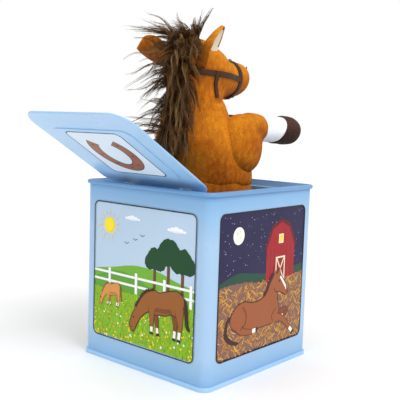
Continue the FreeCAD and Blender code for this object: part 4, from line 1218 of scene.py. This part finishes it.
def grazing_horse(art, place, coat, shade, line, mane_code, rng):
    """A standing horse with its head down, about 64 long and 45 high before scaling."""
    horse = Figure(art, place)
    for points, widths in ((((12, 28), (10.5, 16), (11.5, 5)), (8, 4, 2.6)),
                           (((34, 25), (31.5, 13), (30.5, 5)), (6, 3.4, 2.5))):
        horse.leg(points, widths, shade, line)
    art.lift()
    tail = [(2, 40), (-1, 38), (-3, 30), (-4, 20), (-6, 14), (-2, 15), (0, 20), (1, 28), (3, 34)]
    horse.blob(tail, mane_code)
    art.lift(0.5)
    body = [(1, 35), (3, 41.5), (10, 44.5), (20, 42.5), (29, 40), (36, 41), (44, 38), (50, 32.5),
            (54.5, 26), (58, 20.5), (61.5, 15.5), (64.2, 8), (63, 1.8), (59, 0.8), (56, 6),
            (53, 11.5), (48.5, 16.5), (44, 20), (40, 21.5), (35, 20), (29, 21), (22, 21.5),
            (15, 24), (9, 23), (4, 27)]
    horse.blob(body, coat, line)
    art.lift()
    belly = [(14, 25.5), (22, 23.5), (30, 23), (38, 24), (33, 26.5), (24, 27), (17, 28)]
    horse.blob(belly, shade)
    for points, widths in ((((6.5, 30), (5.2, 16), (6.2, 5)), (10, 4.2, 2.8)),
                           (((38, 27), (37.5, 13), (37.5, 5)), (7.5, 3.6, 2.7))):
        horse.leg(points, widths, coat, line)
    art.lift(0.5)
    horse.blob(((3.5, 36), (8, 41), (14, 38), (12, 29), (6, 26), (3, 30)), coat)
    horse.blob(((33, 34), (38, 38), (42, 32), (41, 24), (36, 22), (33, 27)), coat)
    art.lift()
    horse.ragged([(36, 41), (44, 38.5), (50, 33), (55, 26), (58, 21)], (1.8, 1.4), mane_code, rng)
    art.area(horse.at([(56, 21), (58.5, 24.5), (59.5, 20)]), coat)
    art.lift()
    horse.dot(59.6, 13.2, 0.8, "#1E1310", 12)
    horse.dot(62, 4, 0.55, "#2A1A15", 10)


def lying_horse(art, place, coat, shade, line, mane_code, rng):
    """A resting horse with its head up, about 92 long and 70 high before scaling."""
    horse = Figure(art, place)
    tail = [(89, 33), (94, 29), (95, 20), (90, 13), (80, 8), (84, 6.5), (93, 10), (99, 18),
            (98, 28), (94, 35)]
    horse.blob(tail, mane_code)
    art.lift(0.5)
    horse.leg(((30, 24), (17, 27), (15, 23.5), (24, 19)), (7, 4.2, 4, 3), shade, line)
    art.lift()
    body = [(36, 63), (40, 57), (43, 51), (47, 46), (54, 43), (64, 43), (74, 45.5), (83, 43.5),
            (90, 37), (92, 29), (88, 22), (80, 17.5), (68, 16), (56, 16), (44, 16), (34, 16.5),
            (28, 20), (25.5, 27), (26.5, 34), (28.5, 41), (27.5, 46.5), (23, 45), (18, 42),
            (14.8, 42), (13.6, 45.5), (16.5, 51.5), (21, 58.5), (26, 64), (31, 66)]
    horse.blob(body, coat, line)
    art.lift(0.5)
    for ear_points in (((25, 63), (26.5, 71), (30, 65)), ((30.5, 64), (34.5, 72), (36, 62))):
        art.area(horse.at(ear_points), coat)
        art.lift(0.3)
        art.stroke(horse.at(ear_points), 0.7 * horse.thin, line)
    art.lift()
    horse.leg(((84, 30), (78, 19), (66, 15), (58, 15)), (12, 6, 4, 3.2), coat, line)
    art.lift(0.5)
    horse.blob(((76, 40), (84, 42), (90, 34), (88, 24), (79, 20), (74, 28)), coat)
    art.lift(0.5)
    horse.leg(((36, 22), (22, 19), (12, 10), (5, 2)), (9, 5, 3.8, 3), coat, line)
    art.lift(0.5)
    horse.blob(((28, 30), (36, 34), (44, 26), (40, 18), (31, 17)), coat)
    art.lift()
    for points in (((76, 41), (71.5, 33), (72, 25), (78, 19.5)), ((27.5, 46.5), (31, 47), (34, 51)),
                   ((30, 31), (36, 24), (34, 18.5))):
        art.stroke(horse.at(points), 0.6 * horse.thin + 0.1, line, smooth=True)
    horse.ragged([(35, 65), (40, 58), (43.5, 51), (47, 46.5)], (2.6, 1.4), mane_code, rng)
    art.stroke(horse.at([(25.5, 61.5), (22, 57), (17.5, 50.5), (16.4, 47)]),
               [2.2 * horse.thin] * 3 + [0.6], "#EFE9E2", smooth=True)
    art.lift()
    horse.dot(26.3, 57.2, 0.95, "#1E1310", 12)
    horse.dot(15.8, 45, 0.6, "#2A1A15", 10)


MARE = ("#95581E", "#7A4316", BROWN_LINE, "#3A2013")
FOAL = ("#D69048", "#BC7634", "#6B3E24", "#8A5630")
CHESTNUT = ("#9A542C", "#824222", "#40201A", "#3D1E1C")


def leafy_trees(art, spots, code, rng):
    """Round trees on short trunks; spots holds p, q and radius of each crown."""
    for p, q, radius in spots:
        art.box(p - 1.6, 52, p + 1.6, q - radius * 0.7, "#6B4226")
        art.lift()
        round_bush(art, ((p, q, radius), (p - radius * 0.6, q - 3, radius * 0.7),
                         (p + radius * 0.6, q - 3, radius * 0.7)), code, rng)
        art.lift()


def red_barn(art, p, q, size, window):
    """A barn seen from its gable end, with a crossed door and a loft window."""
    def spot(a, b):
        return p + a * size, q + b * size

    def panel(a0, b0, a1, b1, code):
        art.box(*spot(a0, b0), *spot(a1, b1), code)

    panel(-18, 0, 18, 26, BARN_RED)
    art.area([spot(*c) for c in ((-21, 25), (21, 25), (12, 42), (0, 47), (-12, 42))], "#5E101A")
    art.lift()
    art.area([spot(*c) for c in ((-18, 25), (18, 25), (10.5, 39.5), (0, 44), (-10.5, 39.5))],
             BARN_RED)
    for a in (-13, -7.8, 7.8, 13):
        art.stroke([spot(a, 0), spot(a, 25)], 0.5, BOARD_LINE)
    art.lift()
    panel(-6, 0, 6, 18, CREAM)
    panel(-3, 28, 3, 35, CREAM)
    art.lift()
    panel(-4.8, 0, 4.8, 16.8, "#8C1822")
    panel(-2, 29, 2, 34, window)
    art.lift()
    art.stroke([spot(-4.5, 0.5), spot(4.5, 16.5)], 1.1 * size, CREAM)
    art.stroke([spot(4.5, 0.5), spot(-4.5, 16.5)], 1.1 * size, CREAM)


def meadow_by_day(art):
    """The back: a small wood behind a fence, with a mare and a foal grazing the same way."""
    rng = random.Random(5)
    art.ground("#B9CFE4")
    cloud(art, 46, 105, 3.0)
    cloud(art, 95, 101, 3.4)
    sun(art, 19, 97, 6.8)
    for p, q in ((50, 88), (58, 92), (40, 84)):
        art.stroke([(p - 2.6, q + 1.3), (p, q), (p + 2.6, q + 1.3)], 0.7, "#3A5F8A")
    art.lift()
    hills(art, [(0, 58), (24, 62), (50, 67), (76, 66), (98, 61), (117, 58)], "#6FAE2C")
    art.lift()
    hills(art, [(0, 50), (16, 57), (34, 60), (52, 57), (70, 50)], "#5D9C2A")
    art.lift()
    leafy_trees(art, ((73, 76, 9), (103, 78, 10), (88, 83, 11)), TREE_GREEN, rng)
    fence(art, [(57, 57), (50, 50)], (20, 52, 84, 112), 42, 61)
    art.lift()
    meadow(art, 43, rng)
    art.lift()
    grazing_horse(art, (34, 27, -0.4, 0.5), *FOAL, rng)
    art.lift()
    grazing_horse(art, (107, 12, -0.95, 0.95), *MARE, rng)
    art.border()


def barn_by_night(art):
    """The left: a barn under a full moon and a horse resting in the straw."""
    rng = random.Random(9)
    art.ground("#1F1944")
    for _ in range(110):
        art.disc(rng.uniform(3, FRAME - 3), rng.uniform(68, 114), rng.choice((0.2, 0.26, 0.36)),
                 "#C9C8E8", 8)
    art.lift()
    art.disc(24, 98, 7, "#F3F1E4", 30)
    art.lift()
    for p, q, radius in ((22, 100, 1.5), (26.5, 96, 1.1), (25.5, 101, 0.8)):
        art.disc(p, q, radius, "#DDD9C6", 14)
    hills(art, [(0, 62), (24, 68), (48, 65), (80, 62), (117, 66)], "#1E4836", 50)
    art.lift()
    red_barn(art, 82, 55, 1.12, "#F2D325")
    art.lift()
    straw_bed(art, rng)
    lying_horse(art, (108, 5, -1, 0.86), *CHESTNUT, rng)
    art.border("#2A1620")


def straw_bed(art, rng):
    """A floor of bent straws over dark earth."""
    edge = [(FRAME * k / 60, 57.5 + 3 * math.sin(k * 0.11 + 0.4) + rng.uniform(-0.6, 0.6))
            for k in range(61)]
    art.area(edge + [(FRAME, 0), (0, 0)], "#7E5A4E")
    art.lift()
    for n in range(900):
        p, q = rng.uniform(2, FRAME - 2), rng.uniform(1.5, 57)
        turn = rng.choice((-1, 1)) * rng.uniform(0.25, 1.2)
        half = rng.uniform(1.6, 3.6)
        code = rng.choice(("#D9982F", "#E3AE4A", "#B87A2A", "#C98A2E", "#9A6A3C"))
        a, b = half * math.cos(turn), half * math.sin(turn)
        art.stroke([(p - a, q - b), (p, q + rng.uniform(-0.5, 0.5)), (p + a, q + b)], 0.62, code)
        if n % 300 == 299:
            art.lift()


def farmyard(art):
    """The front: a red barn on a hill, a path and a horse in the meadow."""
    rng = random.Random(13)
    art.ground("#D3E3F5")
    sun(art, 20, 98, 6.5)
    cloud(art, 48, 103, 3.0)
    cloud(art, 96, 98, 2.6)
    hills(art, [(0, 58), (20, 64), (44, 62), (70, 66), (96, 62), (117, 58)], "#6FAE2C")
    art.lift()
    red_barn(art, 80, 54, 1, "#3A1414")
    column_tree(art, 12, 6, 56, 88, rng)
    round_bush(art, ((108, 62, 8), (114, 58, 7), (102, 58, 5)), "#1C5A3C", rng)
    fence(art, [(52, 54), (46.5, 48.5)], (6, 34, 62, 90, 114), 40, 56)
    art.lift()
    meadow(art, 44, rng)
    art.lift()
    art.area([(76, 44), (84, 44), (92, 24), (104, 0.4), (62, 0.4), (74, 24)], "#CDB27E")
    art.lift()
    grazing_horse(art, (68, 15, -0.86, 0.86), *CHESTNUT, rng)
    art.border()


def orchard(art):
    """The crank side: round trees, a fence and two small horses."""
    rng = random.Random(23)
    art.ground("#CFE0F3")
    cloud(art, 30, 104, 3.0)
    cloud(art, 84, 100, 3.0)
    hills(art, [(0, 62), (26, 58), (52, 64), (84, 60), (117, 65)], "#78B434")
    art.lift()
    crowns = ((18, 80, 13), (60, 84, 12), (101, 79, 13))
    leafy_trees(art, crowns, LEAF_GREEN, rng)
    for p, q, radius in crowns:
        for _ in range(16):
            turn, reach = rng.uniform(0, 2 * math.pi), radius * rng.uniform(0.1, 0.95)
            art.disc(p + reach * math.cos(turn), q - 1 + 0.8 * reach * math.sin(turn), 1.1,
                     "#C8262C", 12)
            art.lift(0.05)
    fence(art, [(57, 57), (51.5, 51.5), (46, 46)], (10, 38, 78, 108), 42, 60)
    art.lift()
    meadow(art, 44, rng)
    art.lift()
    grazing_horse(art, (10, 14, 0.62, 0.68), *MARE, rng)
    grazing_horse(art, (106, 13, -0.5, 0.6), *FOAL, rng)
    art.border()


def lid_horseshoe(art):
    """A horseshoe with its nail holes on a plain pale ground."""
    art.ground("#D5E3F2")
    turns = [math.radians(k) for k in range(-50, 231, 14)]
    shoe = [(31 + 17 * math.cos(turn), 31 + 21 * math.sin(turn)) for turn in turns]
    for width, code in ((10.4, BROWN_LINE), (8.8, "#8F5230")):
        art.stroke(shoe, width, code, smooth=True)
        art.lift()
    for p, q in shoe[1:-1:3]:
        art.disc(p, q, 1.3, BROWN_LINE, 14)
    art.border()


def pictures():
    """The four square pictures on the walls and the one under the lid's edge."""
    half = FRAME / 2
    scenes = ((meadow_by_day, "back", (half, WALL_FACE, FRAME_FOOT), (-1, 0, 0)),
              (barn_by_night, "left", (-WALL_FACE, half, FRAME_FOOT), (0, -1, 0)),
              (farmyard, "front", (-half, -WALL_FACE, FRAME_FOOT), (1, 0, 0)),
              (orchard, "right", (WALL_FACE, -half, FRAME_FOOT), (0, 1, 0)))
    for draw, side, origin, right in scenes:
        art = Picture("picture_" + side, "box", origin, right, (0, 0, 1))
        draw(art)
        art.finish()
    _, hinge_y, hinge_z = next(j for j in frame["joints"] if j["name"] == "lid_hinge")["pos_m"]
    out = Vector((0, math.sin(LID_OPEN), math.cos(LID_OPEN)))
    inward = Vector((0, math.cos(LID_OPEN), -math.sin(LID_OPEN)))     # towards the hinge
    corner = (Vector((-LID_WIDTH / 2, hinge_y / MM, hinge_z / MM)) + out * LID_FACE
              - inward * LID_REACH)
    art = Picture("picture_lid", "lid", corner, (1, 0, 0), inward, LID_WIDTH, LID_HEIGHT)
    lid_horseshoe(art)
    art.finish()


# ---------------------------------------------------------------- stage

def studio():
    """A pale floor, a white surround and two soft lamps."""
    reach, level = 6, -0.0002
    corners = [(-reach, -reach, level), (reach, -reach, level), (reach, reach, level),
               (-reach, reach, level)]
    add_piece("floor", corners, [(0, 1, 2, 3)],
                       [Shader("pale_floor", "#FAFAFA", 0.7).material], smooth=False)
    world = bpy.data.worlds.new("studio")
    world.use_nodes = True
    tree = world.node_tree
    seen = tree.nodes.new("ShaderNodeLightPath").outputs["Is Camera Ray"]
    way = tree.nodes.new("ShaderNodeSeparateXYZ")
    tree.links.new(tree.nodes.new("ShaderNodeTexCoord").outputs["Generated"], way.inputs["Vector"])
    sky = tree.nodes.new("ShaderNodeMapRange")
    strength = tree.nodes.new("ShaderNodeMapRange")
    for node, settings in ((sky, (("From Min", -0.1), ("From Max", 0.9), ("To Min", 0.42),
                                  ("To Max", 0.95))), (strength, (("To Max", 1.0),))):
        for key, number in settings:
            node.inputs[key].default_value = number
    tree.links.new(way.outputs["Z"], sky.inputs["Value"])
    tree.links.new(sky.outputs["Result"], strength.inputs["To Min"])
    tree.links.new(seen, strength.inputs["Value"])
    tree.links.new(strength.outputs["Result"], tree.nodes["Background"].inputs["Strength"])
    tree.nodes["Background"].inputs["Color"].default_value = (1, 1, 1, 1)
    bpy.context.scene.world = world
    bpy.context.scene.view_settings.view_transform = "Standard"
    for name, place, spread, power in (("key", (-1.35, 0.25, 1.5), 30, 1.45),
                                       ("fill", (0.5, 1.6, 0.9), 60, 0.45)):
        lamp = bpy.data.lights.new(name, "SUN")
        lamp.angle, lamp.energy = math.radians(spread), power
        lamp_object = put(name, lamp)
        lamp_object.location = place
        aim = Vector((0, 0, 0.15)) - Vector(place)
        lamp_object.rotation_euler = aim.to_track_quat("-Z", "Y").to_euler()


EYE = (-0.4018, 0.4657, 0.2042)     # where the camera stands
AIM = (-49.14, 6.30, 1.80)          # its yaw, its pitch downwards and its roll, in degrees
FOCAL, SENSOR = 63.75, 36.0


def camera():
    """The photograph's view, from behind the tin's left corner."""
    yaw, pitch, roll = (math.radians(angle) for angle in AIM)
    ahead = Vector((math.cos(pitch) * math.cos(yaw), math.cos(pitch) * math.sin(yaw),
                    -math.sin(pitch)))
    level = ahead.cross(Vector((0, 0, 1))).normalized()
    upright = level.cross(ahead)
    right = level * math.cos(roll) + upright * math.sin(roll)
    up = upright * math.cos(roll) - level * math.sin(roll)
    lens = bpy.data.cameras.new("view")
    lens.lens, lens.sensor_width = FOCAL, SENSOR
    eye = put("view", lens)
    eye.matrix_world = Matrix.Translation(EYE) @ Matrix(
        (right, up, -ahead)).transposed().to_4x4()
    bpy.context.scene.camera = eye


# ---------------------------------------------------------------- build

body_skin = trunk_and_head()
skin_surface = Surface(body_skin)
sleeve()
main_spring()
bridle(skin_surface)
eyes_and_nostrils(skin_surface)
ear("right_ear_leaf", "right_ear", (-20, 28, 246), (-29.5, 12.8, 282), (0.83, 0.55, 0),
    2, 2.8, hollow=10.5)
left_ear_root = (14, 26, 252)
left_ear = ear("left_ear_leaf", "left_ear", left_ear_root, (56, 27, 267), (-0.4, 0.62, -0.67),
               -4, 4.6)
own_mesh(left_ear)
foreleg(-1, "right")
foreleg(1, "left")
mane(skin_surface)
forelock(skin_surface)
pictures()
studio()
camera()
